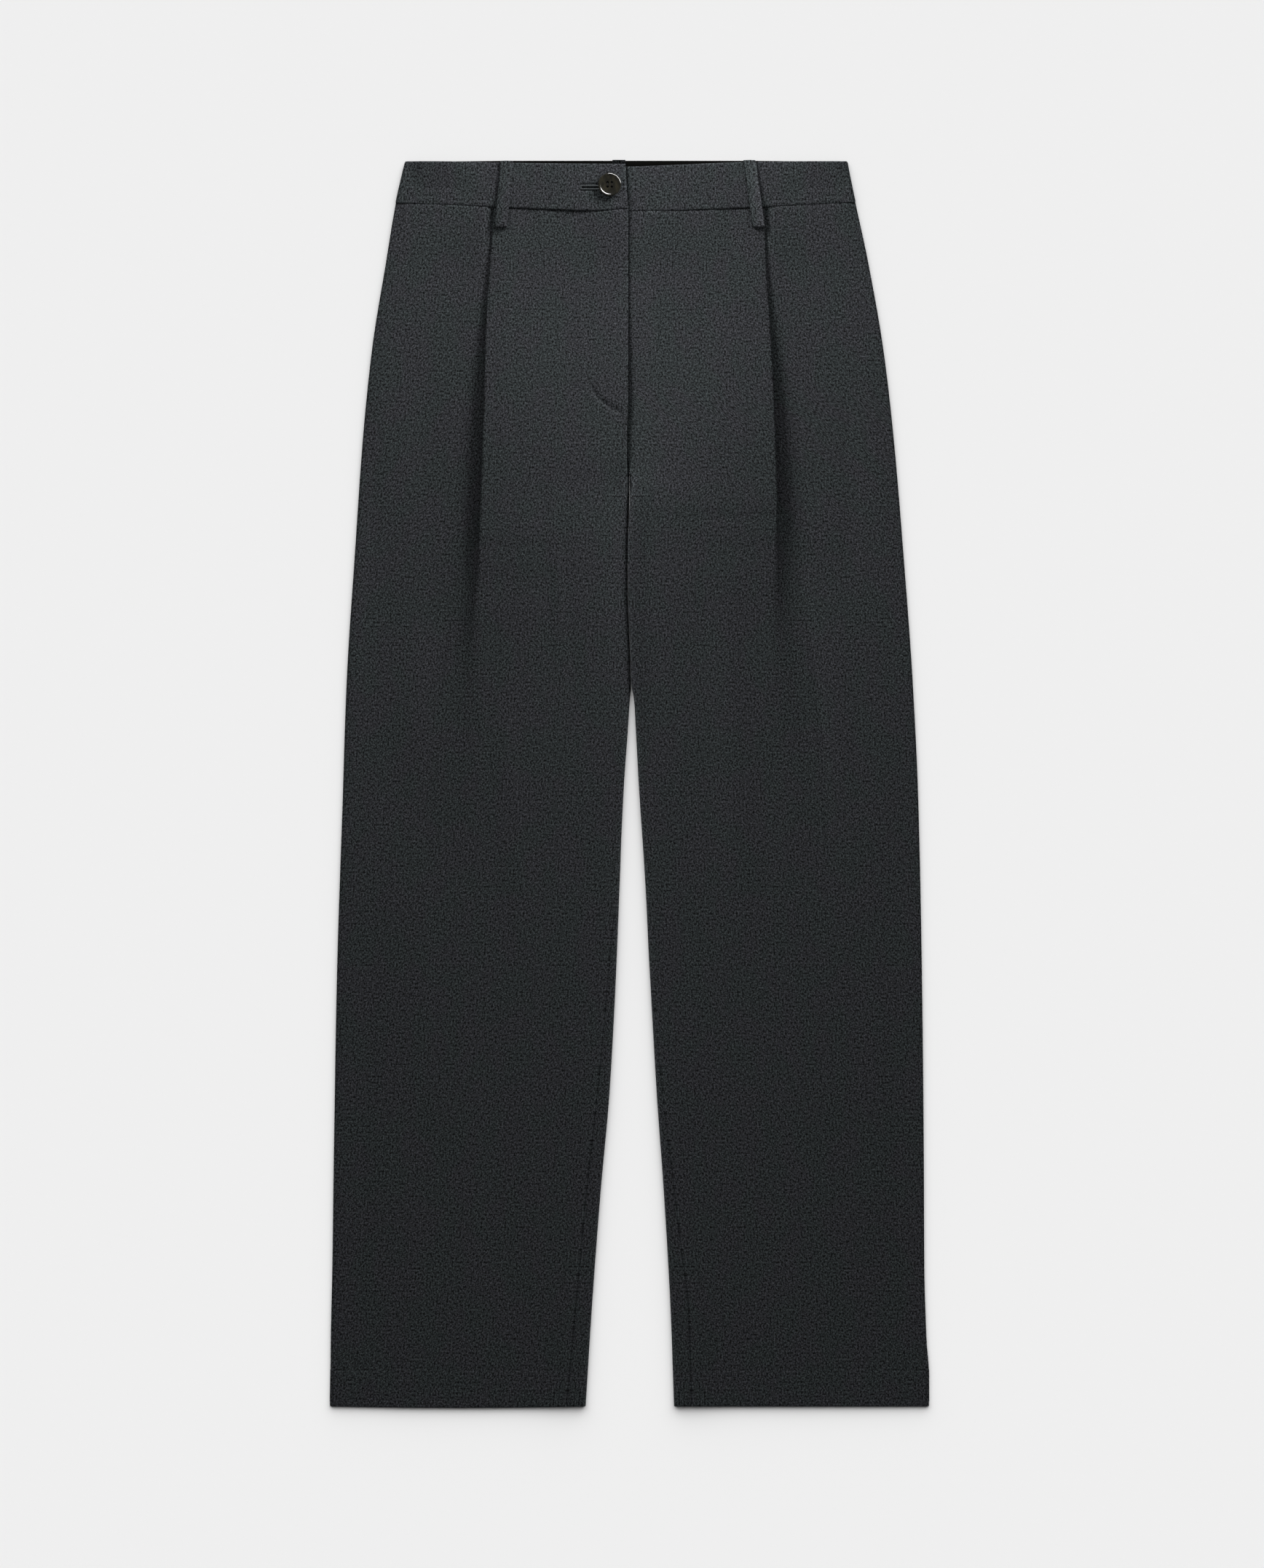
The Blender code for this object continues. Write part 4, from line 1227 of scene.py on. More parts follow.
@dataclass
class FrontPanel(Panel):
    """A front panel with its pleat, folds, rolled side and turned-up hem."""

    NAME = "front"
    INWARD = -1.0
    HEM_STEPS = 9

    fly: FlyStitch = field(default_factory=FlyStitch)
    edge_steps: int = 7
    fine_steps: int = 44
    centre_steps: int = 30
    bend_steps: int = 6
    depth_steps: int = 4
    outer_steps: int = 38
    fine_width: float = 34.0
    fly_starts: float = 3.0  # from the centre to where the fly's relief is whole

    def inner_edge(self, down: float) -> list[Flat]:
        """The first few millimetres: lapped at the fly, rolled on the leg."""
        lie = self.lie
        if down >= CROTCH:
            seam = lie.edge(INSEAM_ROLL, down) + SEAM
            return [lie.inner_way(down, way) for way in steps(seam, seam + INNER_ROLL, self.edge_steps)]
        turn = FRONT_EDGE.read("turn", down)
        end = lie.edge(INNER_EDGE, down) + HALF * math.sin(math.radians(turn))
        if self.side is Side.LEFT:
            end -= FRONT_EDGE.read("underlap", down)
        curl = lie.curled(end, lie.edge(FRONT_EDGE, down), turn, self.edge_steps, -1)
        return [(lie.squeezed(x, end, down), height + lie.lift(x, down)) for x, height in curl]

    def centre_ways(self, start: float, crease: float) -> list[float]:
        """Places across the centre part, close together where the fly's stitching is."""
        if self.side is Side.LEFT:
            return steps(start, crease, self.fine_steps // 2 + self.centre_steps)[1:]
        fine = steps(start, start + self.fine_width, self.fine_steps)
        return fine[1:] + steps(start + self.fine_width, crease, self.centre_steps)[1:]

    def path(self, down: float) -> list[Flat]:
        """The middle line from the centre or inseam, through the pleat, to the side."""
        lie = self.lie
        edge = self.inner_edge(down)
        start, level = edge[-1]
        level -= lie.lift(start, down) if down < CROTCH else 0.0
        rise = max(start, lie.rise_start)
        early, late = PLEAT_OPENS
        at = down + PLEAT_OPENS_EARLY[self.side] * ease((down - early) / (late - early))
        turn = math.radians(PLEAT.read("turn", at))
        depth, low = PLEAT.read("depth", at), PLEAT.read("height", at)
        crest, valley = PLEAT.read("crest", at), PLEAT.read("valley", at)
        drop = (crest + valley) / turn * (1 - math.cos(turn)) + depth * math.sin(turn)
        crease = lie.edge(CREASE_LINE, down) - (HALF + crest / turn) * math.sin(min(turn, math.pi / 2))
        flat = crease - depth - OUTER_ROLL
        pleated = ease((FOLD_MEETS_PLEAT - at) / FOLD_CLEAR)

        centre = []
        for across in self.centre_ways(start, crease):
            height = mix(level, low + drop, crown((across - rise) / (flat - rise)))
            if down < CROTCH:
                height += lie.lift(across, down) * ease((flat - across) / FOLD_CLEAR)
            clear = ease((across - start) / FOLD_CLEAR)
            height += (lie.folds(across, down) + lie.unevenness(across, down)) * clear
            if self.side is Side.RIGHT:
                height += self.fly.relief(across, down) * ease(across / self.fly_starts)
            centre.append((across, height))
        rise_here = centre[-1][1] - low - drop
        crest_bend, valley_bend = (crest, -turn, self.bend_steps), (valley, turn, self.bend_steps)
        under = walk(centre[-1], 0.0, (crest_bend, (depth, 0.0, self.depth_steps), valley_bend))
        run = lengths([centre[-1], *under])
        pleat = []
        for (across, height), way in zip(under, run[1:]):
            loose = lie.folds(across, down) + lie.unevenness(across, down)
            kept = mix(loose, rise_here * (1 - way / run[-1]), pleated)
            pleat.append((across, height - rise_here + kept))

        rolled = lie.outer_rolled(down, 1, self.roll_steps)
        outer = []
        (begin, begin_height), (end, end_height) = pleat[-1], rolled[0]
        bare = max(begin, crease)
        for k in range(1, self.outer_steps):
            across = mix(begin, end, k / self.outer_steps)
            share = (across - bare) / (end - bare)
            height = mix(begin_height, end_height, ease(share))
            if share > 0:
                raised = ease((across - crease) / lie.band_rise) * ease((end - across) / lie.band_rise)
                height += (lie.band_level - height) * raised * lie.to_band(down)
                clear = mix(1.0, ease((across - crease) / FOLD_CLEAR), pleated)
                clear *= ease((end - across) / FOLD_CLEAR)
                height += (lie.folds(across, down) + lie.unevenness(across, down)) * clear
            outer.append((across, height))
        return lie.stand(edge + centre, down) + pleat + outer + rolled

    def section(self, down: float) -> list[Flat]:
        """The path with its sewn edges sunk into their seams."""
        return sink_seams(self.path(down), down >= CROTCH, self.INWARD)

    def lay_body(self) -> None:
        """Lays its rows, which are close together at the waist, the fly's end and the hem."""
        top, tuck, drop = self.section(PANEL_TOP), self.lie.tuck, self.lie.tuck_drop
        for up, sunk in ((tuck, drop), (tuck / 2, drop * 0.9)):
            self.add_row(top, PANEL_TOP - up, PANEL_TOP - up, tuck=sunk)
        fly_rows = 46 if self.side is Side.RIGHT else 12
        for down in spaced(
            PANEL_TOP, (44.0, 10), (178.0, 42), (212.0, fly_rows), (440.0, 76), (980.0, 98),
            (HEM - HEM_FOLD, 34),
        ):
            self.add_row(self.section(down), down, down, tuck=self.lie.drop(down))

    def face(self, across: float, down: float) -> float:
        """Height of the panel's face near the centre front."""
        line = self.path(down)[: self.edge_steps + self.fine_steps]
        for (before, low), (after, high) in zip(line, line[1:]):
            if before <= across <= after:
                return mix(low, high, (across - before) / (after - before)) + HALF
        return line[-1][1] + HALF

    def sew_fly(self, finishes: Finishes) -> bpy.types.Object:
        """Sews the curved end of the fly."""
        mesh = bmesh.new()
        for across, down, heading in self.fly.stitches():
            x, y, height = self.lie.place(across, down, self.face(across, down))
            add_stitch(mesh, (x, y, height + self.fly.proud), self.fly.stitch, heading)
        return finish_object("fly_stitching", mesh, Slot.CLOTH, finishes.purl)


@dataclass
class BackPanel(Panel):
    """A back panel, flat on the floor, rolled up at its sides and turned up at its hem."""

    NAME = "back"
    INWARD = 1.0
    HEM_STEPS = 6

    wrap_steps: int = 7
    arc_steps: int = 14
    floor_steps: int = 26
    wrap_start: float = 0.6

    def path(self, down: float) -> list[Flat]:
        """The middle line from the inner edge, under the leg, to the side."""
        lie = self.lie
        if down >= CROTCH:
            seam = lie.edge(INSEAM_ROLL, down) - SEAM
            top = min(seam, INNER_ROLL) - self.wrap_start
            ways = steps(seam, top, self.wrap_steps)[:-1] + steps(top, -INNER_ROLL, self.arc_steps)
            edge = [lie.inner_way(down, way) for way in ways]
        else:
            turn = BACK_EDGE.read("turn", down)
            inner = lie.edge(INNER_EDGE, down) + HALF * math.sin(math.radians(turn))
            end = mix(SEAM, inner, BACK_EDGE.read("to_inner", down))
            curl = lie.curled(end, BACK_HEIGHT, turn, self.wrap_steps + self.arc_steps, 1)
            edge = [(lie.squeezed(across, end, down), height) for across, height in curl]
        edge = lie.stand(edge, down)
        rolled = lie.outer_rolled(down, -1, self.roll_steps)
        floor = [(across, BACK_HEIGHT) for across in steps(edge[-1][0], rolled[0][0], self.floor_steps)]
        return edge + floor[1:-1] + rolled

    def section(self, down: float) -> list[Flat]:
        """The path with both of its edges sunk into their seams."""
        return sink_seams(self.path(down), True, self.INWARD)

    def turned_up(self, down: float) -> list[Flat]:
        """The path with its edges as they are, since the turned-up part isn't sewn there."""
        return self.path(down)

    def lay_body(self) -> None:
        """Lays its rows."""
        for down in spaced(PANEL_TOP, (440.0, 80), (HEM - HEM_FOLD, 120)):
            self.add_row(self.section(down), down, down)


# ---------------------------------------------------------------------------------------
# Waistband
# ---------------------------------------------------------------------------------------


@dataclass
class BandForm:
    """The folded waistband's thickness, height and puckers."""

    front_height: float = 4.2
    half: float = 0.95
    back_half: float = 1.1
    lap_flat: float = 38.0
    lap_slope_end: float = 96.0
    lap_gap: float = 0.3
    underlap: float = 38.0
    lap_top_edge: float = 3.5
    lap_bottom_edge: float = 1.4
    rounding: float = 0.04  # of its long edges, as a share of its width
    back_rounding: float = 0.035
    swell: float = 0.2  # how much its face stands out along its middle
    top_rise: dict[Side, float] = field(default_factory=lambda: {Side.RIGHT: 3.2, Side.LEFT: 2.0})
    top_rise_end: float = 0.6  # share of its height where its face starts to rise to the top
    top_rise_from: float = 113.0  # where that starts across, clear of the loops
    top_rise_run: float = 42.0
    top_rise_to: float = 183.0
    top_rise_fade: float = 14.0
    pucker: float = 0.13
    pucker_size: float = 17.0
    pucker_drop: float = 14.0  # how far its noise moves from the top edge to the bottom
    pucker_top: float = 0.6  # its share at the top edge, and what it gains down to the seam
    pucker_gain: float = 0.8

    @property
    def lap_height(self) -> float:
        """Middle of the lapping end, over the underlap."""
        return self.front_height + 2 * self.half + self.lap_gap

    def height(self, side: Side, across: float) -> float:
        """The middle of a front band: the right one climbs on to the left at the lap."""
        if side is Side.LEFT:
            return self.front_height
        climb = 1 - ease((across - self.lap_flat) / (self.lap_slope_end - self.lap_flat))
        return mix(self.front_height, self.lap_height, climb)


def fold_section(
    width: Flat, half: float, rounding: float, face_steps: int, round_steps: int
) -> list[Flat]:
    """A section round a folded strip: places across its width, and distances off its middle.

    Args:
        width: where its two edges are.
        half: half its thickness.
        rounding: how far its edges are rounded.
        face_steps: steps along each face.
        round_steps: steps round half an edge.

    Returns:
        The section's points, without the first one again at its end.
    """
    first, last = width[0] + rounding, width[1] - rounding
    section = []
    for begin, end, side in ((first, last, 1), (last, first, -1)):
        section += [(place, side * half) for place in steps(begin, end, face_steps)]
        for angle in steps(side * 90.0, side * 90.0 - 180.0, 2 * round_steps)[1:-1]:
            turn = math.radians(angle)
            section.append((end + rounding * math.cos(turn), half * math.sin(turn)))
    return section


@dataclass
class Waistband:
    """The waistband in its three lengths: two fronts and the back."""

    form: BandForm = field(default_factory=BandForm)
    stations: int = 150
    face_steps: int = 56
    back_face_steps: int = 16
    round_steps: int = 4
    side_steps: int = 8
    end_round: float = 1.1
    end_thins: tuple[float, ...] = (0.35, 0.8, 0.95)  # shares of its thickness at its end
    hole_groove: float = 1.0  # depth of the dent round the buttonhole's stitches
    hole_groove_reach: float = 2.6  # from the buttonhole's middle
    hole_groove_width: float = 0.6
    lined_from: float = 1.2  # of half the back's thickness, how high its lined faces start, which take the lining's painted shade
    lined_slope: float = 0.3  # how far up they have to face

    def side_arc(self, side: Side, share: float, half: float, upward: int) -> list[Flat]:
        """A band's quarter round to the side seam, across and height, from its level part.

        Args:
            side: which side seam.
            share: how far down the band's width.
            half: half the band's thickness.
            upward: 1 where it rounds from the front, -1 from the back.

        Returns:
            The arc's points.
        """
        form = self.form
        radius = (form.front_height - form.back_half) / 2
        extreme = OUTER_EDGE.read(side.word, mix(0.0, PANEL_TOP, share)) - half
        points = []
        for angle in steps(math.pi / 2, SEAM / radius, self.side_steps):
            across = extreme - radius * (1 - math.cos(angle))
            points.append((across, form.back_half + radius * (1 + upward * math.sin(angle))))
        return points

    def front_spine(self, side: Side, share: float) -> list[Flat]:
        """The middle line of a front band at a share of the way down it."""
        form = self.form
        start = -form.underlap
        if side is Side.RIGHT:
            start = mix(form.lap_top_edge, form.lap_bottom_edge, share)
        arc = self.side_arc(side, share, form.half, 1)
        ends = steps(start, start + self.end_round, len(self.end_thins))
        ways = ends[:-1] + steps(ends[-1], arc[0][0], self.stations)[:-1]
        return [(across, form.height(side, across)) for across in ways] + arc

    def back_spine(self, share: float) -> list[Flat]:
        """The middle line of the back band, from the right side to the left, as x and height."""
        half = self.form.back_half
        right = [(-across, height) for across, height in self.side_arc(Side.RIGHT, share, half, -1)]
        left = self.side_arc(Side.LEFT, share, half, -1)
        flat = steps(right[0][0], left[0][0], self.stations)[1:-1]
        return right[::-1] + [(x, half) for x in flat] + left

    def pucker(self, across: float, share: float) -> float:
        """How the band's face swells and dips, more so at its sewn edge."""
        form = self.form
        spot = Vector((across, share * form.pucker_drop, 1.0)) / form.pucker_size
        return form.pucker * noise.noise(spot) * (form.pucker_top + form.pucker_gain * share)

    def top_rise(self, side: Side, across: float, share: float) -> float:
        """How much the band's face rises to its top edge between a loop and the side."""
        form = self.form
        here = ease((across - form.top_rise_from) / form.top_rise_run)
        here *= ease((form.top_rise_to - across) / form.top_rise_fade)
        return form.top_rise[side] * here * max(0.0, 1 - share / form.top_rise_end)

    def dent(self, across: float, down: float, hole: "Buttonhole") -> float:
        """How deep the lapping band's face is pulled in round the buttonhole."""
        beyond = max(hole.eye - across, across - hole.end, 0.0)
        away = math.hypot(beyond, down - hole.down) - self.hole_groove_reach
        return self.hole_groove * gauss(away, self.hole_groove_width)

    def build_front(self, side: Side, finishes: Finishes, hole: "Buttonhole") -> bpy.types.Object:
        """Builds one front length in place of its solid."""
        form = self.form
        section = fold_section((0.0, 1.0), form.half, form.rounding, self.face_steps, self.round_steps)
        spines = [self.front_spine(side, share) for share, _ in section]
        outs = [offset(spine, off) for spine, (_, off) in zip(spines, section)]

        def place(k: int, corner: int) -> tuple[Spot, Flat]:
            """A point of the strip, and its place in the cut cloth."""
            share, off = section[corner]
            thin = self.end_thins[k] if k < len(self.end_thins) else 1.0
            across, height = (mix(*ends, thin) for ends in zip(spines[corner][k], outs[corner][k]))
            down = mix(band_edge(side, "top", across), band_edge(side, "bottom", across), share)
            if off > 0:
                inside = held_share(share)
                height += form.swell * math.sin(math.pi * inside)
                height += self.top_rise(side, across, inside) + self.pucker(across, share)
                height -= self.dent(across, down, hole) if side is Side.RIGHT else 0.0
            return (side.value * across, MIDDLE - down, height), (across, down if off > 0 else -down)

        count = len(spines[0]) - 1  # it stops one ring short of the side seam, clear of the back
        mesh, cut = lay_strip(count, section, place)
        under = ("band_back", "band_front_left") if side is Side.RIGHT else ("band_back",)
        names = ("band_front_" + side.word, "waistband_front_" + side.word)
        return Sheet(*names, Held.FOLDED, under).finish(mesh, cut, finishes.wool)

    def build_back(self, finishes: Finishes) -> bpy.types.Object:
        """Builds the back length, which lies on the floor from side to side, lined inside with a colour
        darkened as painted shade.
        """
        half, rounding = self.form.back_half, self.form.back_rounding
        section = fold_section((0.0, 1.0), half, rounding, self.back_face_steps, self.round_steps)
        outs = [offset(self.back_spine(share), off) for share, off in section]

        def place(k: int, corner: int) -> tuple[Spot, Flat]:
            """A point of the strip, and its place in the cut cloth."""
            (share, off), (x, height) = section[corner], outs[corner][k]
            bottom = back_band_bottom(Side.RIGHT if x < 0 else Side.LEFT, abs(x))
            down = mix(BAND_EDGE.read("back_top", abs(x)), bottom, share)
            return (x, MIDDLE - down, height), (x, down if off > 0 else -down)

        mesh, cut = lay_strip(len(outs[0]), section, place)
        mesh.normal_update()
        # the faces inside that face up take the lining, whose dark colour is partly painted shade
        for face in mesh.faces:
            inside = face.calc_center_median().z > half * self.lined_from
            face.material_index = 1 if inside and face.normal.z > self.lined_slope else 0
        sheet = Sheet("band_back", "waistband_back", Held.FOLDED)
        return sheet.finish(mesh, cut, finishes.wool, finishes.lining)


# ---------------------------------------------------------------------------------------
# Belt loops
# ---------------------------------------------------------------------------------------


@dataclass
class LoopStrip:
    """The strip of a belt loop, folded lengthwise."""

    width: float
    half: float  # half the folded strip's thickness
    crown: float = 0.0  # how much fuller its face is along its middle
    corner: float = 1.0  # radius of its bend over the band's edge
    rounding: float = 0.55
    face_steps: int = 8
    round_steps: int = 3
    corner_steps: int = 6

    def over_edge(self, start: Flat, rise: float, rise_steps: int) -> list[Flat]:
        """Its middle line up behind the band's edge and round on to the face."""
        bend = (self.corner * math.pi / 2, -math.pi / 2, self.corner_steps)
        return [start, *walk(start, math.pi / 2, ((rise, 0.0, rise_steps), bend))]

    def lay(
        self, sheet: Sheet, spine: list[Flat], middles: Sequence[float], finishes: Finishes
    ) -> bpy.types.Object:
        """Lays the strip along its middle line.

        Args:
            sheet: the piece that it becomes.
            spine: the middle line, as distance down and height.
            middles: the x of its middle at each point of that.
            finishes: the materials.

        Returns:
            The piece.
        """
        edges = (-self.width / 2, self.width / 2)
        section = fold_section(edges, self.half, self.rounding, self.face_steps, self.round_steps)
        run, upper = lengths(spine), offset(spine, 1.0)

        def place(k: int, corner: int) -> tuple[Spot, Flat]:
            """A point of the strip, and its place in the cut cloth."""
            beside, off = section[corner]
            bulge = off + (self.crown * (1 - (2 * beside / self.width) ** 2) if off > 0 else 0.0)
            down, height = (mix(*ends, bulge) for ends in zip(spine[k], upper[k]))
            cut_place = (beside if off > 0 else beside + 3 * self.width, run[k])
            return (middles[k] + beside, MIDDLE - down, height), cut_place

        mesh, cut = lay_strip(len(spine), section, place)
        return sheet.finish(mesh, cut, finishes.wool)


@dataclass
class BeltLoop:
    """A belt loop: a folded strip over the band's edge, down its face and turned under."""

    side: Side
    top_across: float
    end_across: float
    end_down: float
    band: BandForm
    strip: LoopStrip = field(default_factory=lambda: LoopStrip(10.2, 0.62, 0.22))
    hook: float = 2.8
    off_face: float = 0.35  # between it and the band's face
    off_edge: float = 0.15  # and the band's top edge
    slack: float = 0.5  # how far it stands out between its ends
    slack_steps: int = 26
    end_radius: float = 0.85
    turn_under: float = 8.0
    rest_on: float = 3.9  # middle of the cloth that its end lies over

    def spine(self) -> list[Flat]:
        """The strip's middle line, as distance down and height."""
        half = self.strip.half
        top = band_edge(self.side, "top", self.top_across)
        face = self.band.front_height + self.band.half + self.off_face + half
        start = (top - self.off_edge - half, face - self.strip.corner - self.hook)
        line = self.strip.over_edge(start, self.hook, 4)
        begin, end = line[-1][0], self.end_down - half - self.end_radius
        over = self.rest_on + HALF + half + 2 * self.end_radius
        for share in steps(0.0, 1.0, self.slack_steps)[1:]:
            height = mix(face, over, ease(share)) + self.slack * math.sin(math.pi * share)
            line.append((mix(begin, end, share), height))
        under = ((self.end_radius * math.pi, -math.pi, 10), (self.turn_under, 0.0, 6))
        return line + walk(line[-1], 0.0, under)

    def build(self, finishes: Finishes) -> bpy.types.Object:
        """Builds the loop in place of its solid."""
        spine = self.spine()
        top, word = spine[0][0], self.side.word
        shares = (held_share((down - top) / (self.end_down - top)) for down, _ in spine)
        middles = [self.side.value * mix(self.top_across, self.end_across, share) for share in shares]
        under = ("band_front_" + word, "cloth_front_" + word)
        sheet = Sheet("loop_front_" + word, "belt_loop_front_" + word, Held.FOLDED, under)
        return self.strip.lay(sheet, spine, middles, finishes)


@dataclass
class CentreBackLoop:
    """The top of the loop at the centre back, folded over the band; the rest is underneath."""

    middle: float = -8.8
    strip: LoopStrip = field(default_factory=lambda: LoopStrip(10.8, 0.3))
    foot: float = 0.62
    tail: float = 8.0
    face: float = 2.66
    outside: float = -1.0  # middle of the cloth where it passes the band's top edge

    def build(self, finishes: Finishes) -> bpy.types.Object:
        """Builds the fold in place of its solid."""
        rise = self.face - self.foot - self.strip.corner
        line = self.strip.over_edge((self.outside, self.foot), rise, 3)
        line += walk(line[-1], 0.0, ((self.tail, 0.0, 4),))
        sheet = Sheet("loop_back", "belt_loop_back", Held.FOLDED, ("band_back",))
        return self.strip.lay(sheet, line, [self.middle] * len(line), finishes)


# ---------------------------------------------------------------------------------------
# Button, buttonhole and stitching
# ---------------------------------------------------------------------------------------


class Ring(NamedTuple):
    """A corner of the button's profile, above its flat back."""

    radius: float
    height: float


@dataclass
class HornButton:
    """A four-hole button with a raised rim and a dished middle, and its sewing thread."""

    across: float = 16.35
    down: float = 19.6
    base: float = 8.7  # height of its flat back
    hole_pitch: float = 3.5
    hole_radius: float = 1.0
    segments: int = 96
    sharp: float = 40.0  # degrees from which an edge is sharp
    bar: float = 1.86  # height of the thread over the holes
    bar_apart: float = 0.15  # from the middle of a hole
    bar_size: Spot = (3.2, 0.3, 0.36)
    tuft: float = 0.6  # radius of the thread in a hole
    shank: Flat = (1.35, 1.15)  # radii of each turn of the wound thread
    shank_depth: float = 4.0
    profile: tuple[Ring, ...] = (
        Ring(0.0, 0.0), Ring(6.8, 0.0), Ring(8.0, 0.25), Ring(8.9, 0.8), Ring(9.35, 1.2),
        Ring(9.5, 1.6), Ring(9.5, 1.95), Ring(9.42, 2.16), Ring(9.25, 2.28), Ring(8.95, 2.42),
        Ring(8.65, 2.54), Ring(8.5, 2.56), Ring(8.35, 2.54), Ring(8.05, 2.42), Ring(7.75, 2.28),
        Ring(7.4, 2.14), Ring(6.9, 2.02), Ring(6.0, 1.82), Ring(4.0, 1.74), Ring(0.0, 1.7),
    )

    @property
    def centre(self) -> Flat:
        """Its middle, in x and y."""
        return (-self.across, MIDDLE - self.down)

    def holes(self) -> list[Flat]:
        """The middles of its four holes, in x and y."""
        x, y = self.centre
        reach = self.hole_pitch / 2
        return [(x + east * reach, y + north * reach) for east in (-1, 1) for north in (-1, 1)]

    def build(self, finishes: Finishes) -> bpy.types.Object:
        """Turns the button, bores its holes and puts it in place of its solid."""
        mesh = bmesh.new()
        line = [mesh.verts.new((ring.radius, 0, ring.height)) for ring in self.profile]
        edges = [mesh.edges.new(pair) for pair in zip(line, line[1:])]
        bmesh.ops.spin(
            mesh, geom=line + edges, cent=(0, 0, 0), axis=UP, angle=2 * math.pi,
            steps=self.segments, use_merge=True,
        )
        bmesh.ops.remove_doubles(mesh, verts=mesh.verts, dist=2 * WELD)
        bmesh.ops.recalc_face_normals(mesh, faces=mesh.faces)
        bmesh.ops.translate(mesh, verts=mesh.verts, vec=(*self.centre, self.base))
        piece = finish_object("horn_button", mesh, Slot.BUTTON, finishes.horn)
        for hole in self.holes():
            bore = bmesh.new()
            add_peg(bore, (*hole, self.base + 1), (self.hole_radius, self.hole_radius), 8.0, 20)
            cut_out(piece, bore)
        piece.data.set_sharp_from_angle(angle=math.radians(self.sharp))
        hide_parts("button")
        return piece

    def sew_on(self, finishes: Finishes) -> bpy.types.Object:
        """Threads: two bars over the top of the holes, and the wound shank under the button."""
        mesh = bmesh.new()
        x, y = self.centre
        reach = self.hole_pitch / 2
        for east in (-1, 1):
            for k in (-1, 1):
                spot = (x + east * reach + self.bar_apart * k, y, self.base + self.bar)
                add_stitch(mesh, spot, self.bar_size, math.pi / 2)
        for hole in self.holes():
            add_peg(mesh, (*hole, self.base), (self.tuft, self.tuft), 1.4, 10)
        for level in steps(self.base - self.shank_depth, self.base - 0.1, 9):
            add_peg(mesh, (x, y, level), self.shank, 0.5, 18)
        return finish_object("button_thread", mesh, Slot.CLOTH, finishes.thread)


def add_peg(mesh: Mesh, middle: Spot, radii: Flat, depth: float, segments: int) -> None:
    """Adds an upright peg.

    Args:
        mesh: the bmesh that it joins.
        middle: its middle, in millimetres.
        radii: its radii at the bottom and the top.
        depth: its height.
        segments: how many sides it has.
    """
    bmesh.ops.create_cone(
        mesh, cap_ends=True, segments=segments, radius1=radii[0], radius2=radii[1], depth=depth,
        matrix=Matrix.Translation(middle),
    )


def add_stitch(mesh: Mesh, middle: Spot, size: Spot, heading: float) -> None:
    """Adds one stitch: a long bead of thread.

    Args:
        mesh: the bmesh that it joins.
        middle: its middle, in millimetres.
        size: its length, width and height.
        heading: the direction of its length in the xy plane, in radians.
    """
    place = Matrix.Translation(middle) @ Matrix.Rotation(heading, 4, "Z")
    place @= Matrix.Diagonal((size[0] / 2, size[1] / 2, size[2] / 2, 1.0))
    bmesh.ops.create_uvsphere(mesh, u_segments=8, v_segments=6, radius=1.0, matrix=place)


@dataclass
class Buttonhole:
    """The keyhole buttonhole: a slit with a purl of close stitches round it."""

    band: BandForm
    end: float = 39.4  # where its far end is, across
    eye: float = 16.35
    down: float = 21.7
    slit: float = 1.4
    stitch: Spot = (1.3, 0.52, 0.5)  # length, width and height of a purl stitch
    pitch: float = 0.5
    slant: float = 0.12  # of the stitches, in radians
    sunk: float = 0.05  # how far their middles lie in the band's face
    fan: float = 80.0  # degrees that the stitches at the end fan out to each side
    fan_steps: int = 7

    def cut(self, band: bpy.types.Object) -> None:
        """Cuts the slit through the lapping band."""
        mesh = bmesh.new()
        size = Matrix.Diagonal((self.end - self.eye, self.slit, 6.0, 1.0))
        middle = (-(self.end + self.eye) / 2, MIDDLE - self.down, self.band.lap_height)
        bmesh.ops.create_cube(mesh, size=1.0, matrix=Matrix.Translation(middle) @ size)
        cut_out(band, mesh)

    def build(self, finishes: Finishes) -> bpy.types.Object:
        """Builds the purl of stitches."""
        mesh = bmesh.new()
        reach = self.slit / 2 + self.stitch[0] / 2
        y = MIDDLE - self.down
        height = self.band.lap_height + self.band.half + self.band.swell - self.sunk
        for across in steps(self.eye, self.end, round((self.end - self.eye) / self.pitch)):
            for south in (-1, 1):
                middle = (-across, y - south * reach, height)
                add_stitch(mesh, middle, self.stitch, math.pi / 2 + self.slant * south)
        for angle in steps(-self.fan, self.fan, self.fan_steps):
            turn = math.radians(angle)
            middle = (-self.end - reach * math.cos(turn), y - reach * math.sin(turn), height)
            add_stitch(mesh, middle, self.stitch, turn)
        return finish_object("buttonhole_purl", mesh, Slot.CLOTH, finishes.purl)


# ---------------------------------------------------------------------------------------
# Studio
# ---------------------------------------------------------------------------------------


class Lamp(NamedTuple):
    """A soft box: where it stands, where it points, its size and power, and what it lights."""

    name: str
    place: Spot
    aim: Spot
    width: float
    depth: float
    power: float
    lights: tuple[str, ...]


class Sun(NamedTuple):
    """A wide soft sun from beyond the waist: its irradiance, and degrees wide and high."""

    name: str
    strength: float
    angle: float
    elevation: float


def place_lamp(
    data: bpy.types.Light, energy: float, lit: Sequence[bpy.types.Object]
) -> bpy.types.Object:
    """Adds a lamp that lights only some objects, though every object casts its shadow.

    Args:
        data: the lamp.
        energy: its power or irradiance.
        lit: what it lights.

    Returns:
        The lamp's object, still at the origin.
    """
    data.energy = energy
    lamp = place_object(data.name, data)
    group = bpy.data.collections.new("lit_by_" + data.name)
    for item in lit:
        group.objects.link(item)
    lamp.light_linking.receiver_collection = group
    return lamp


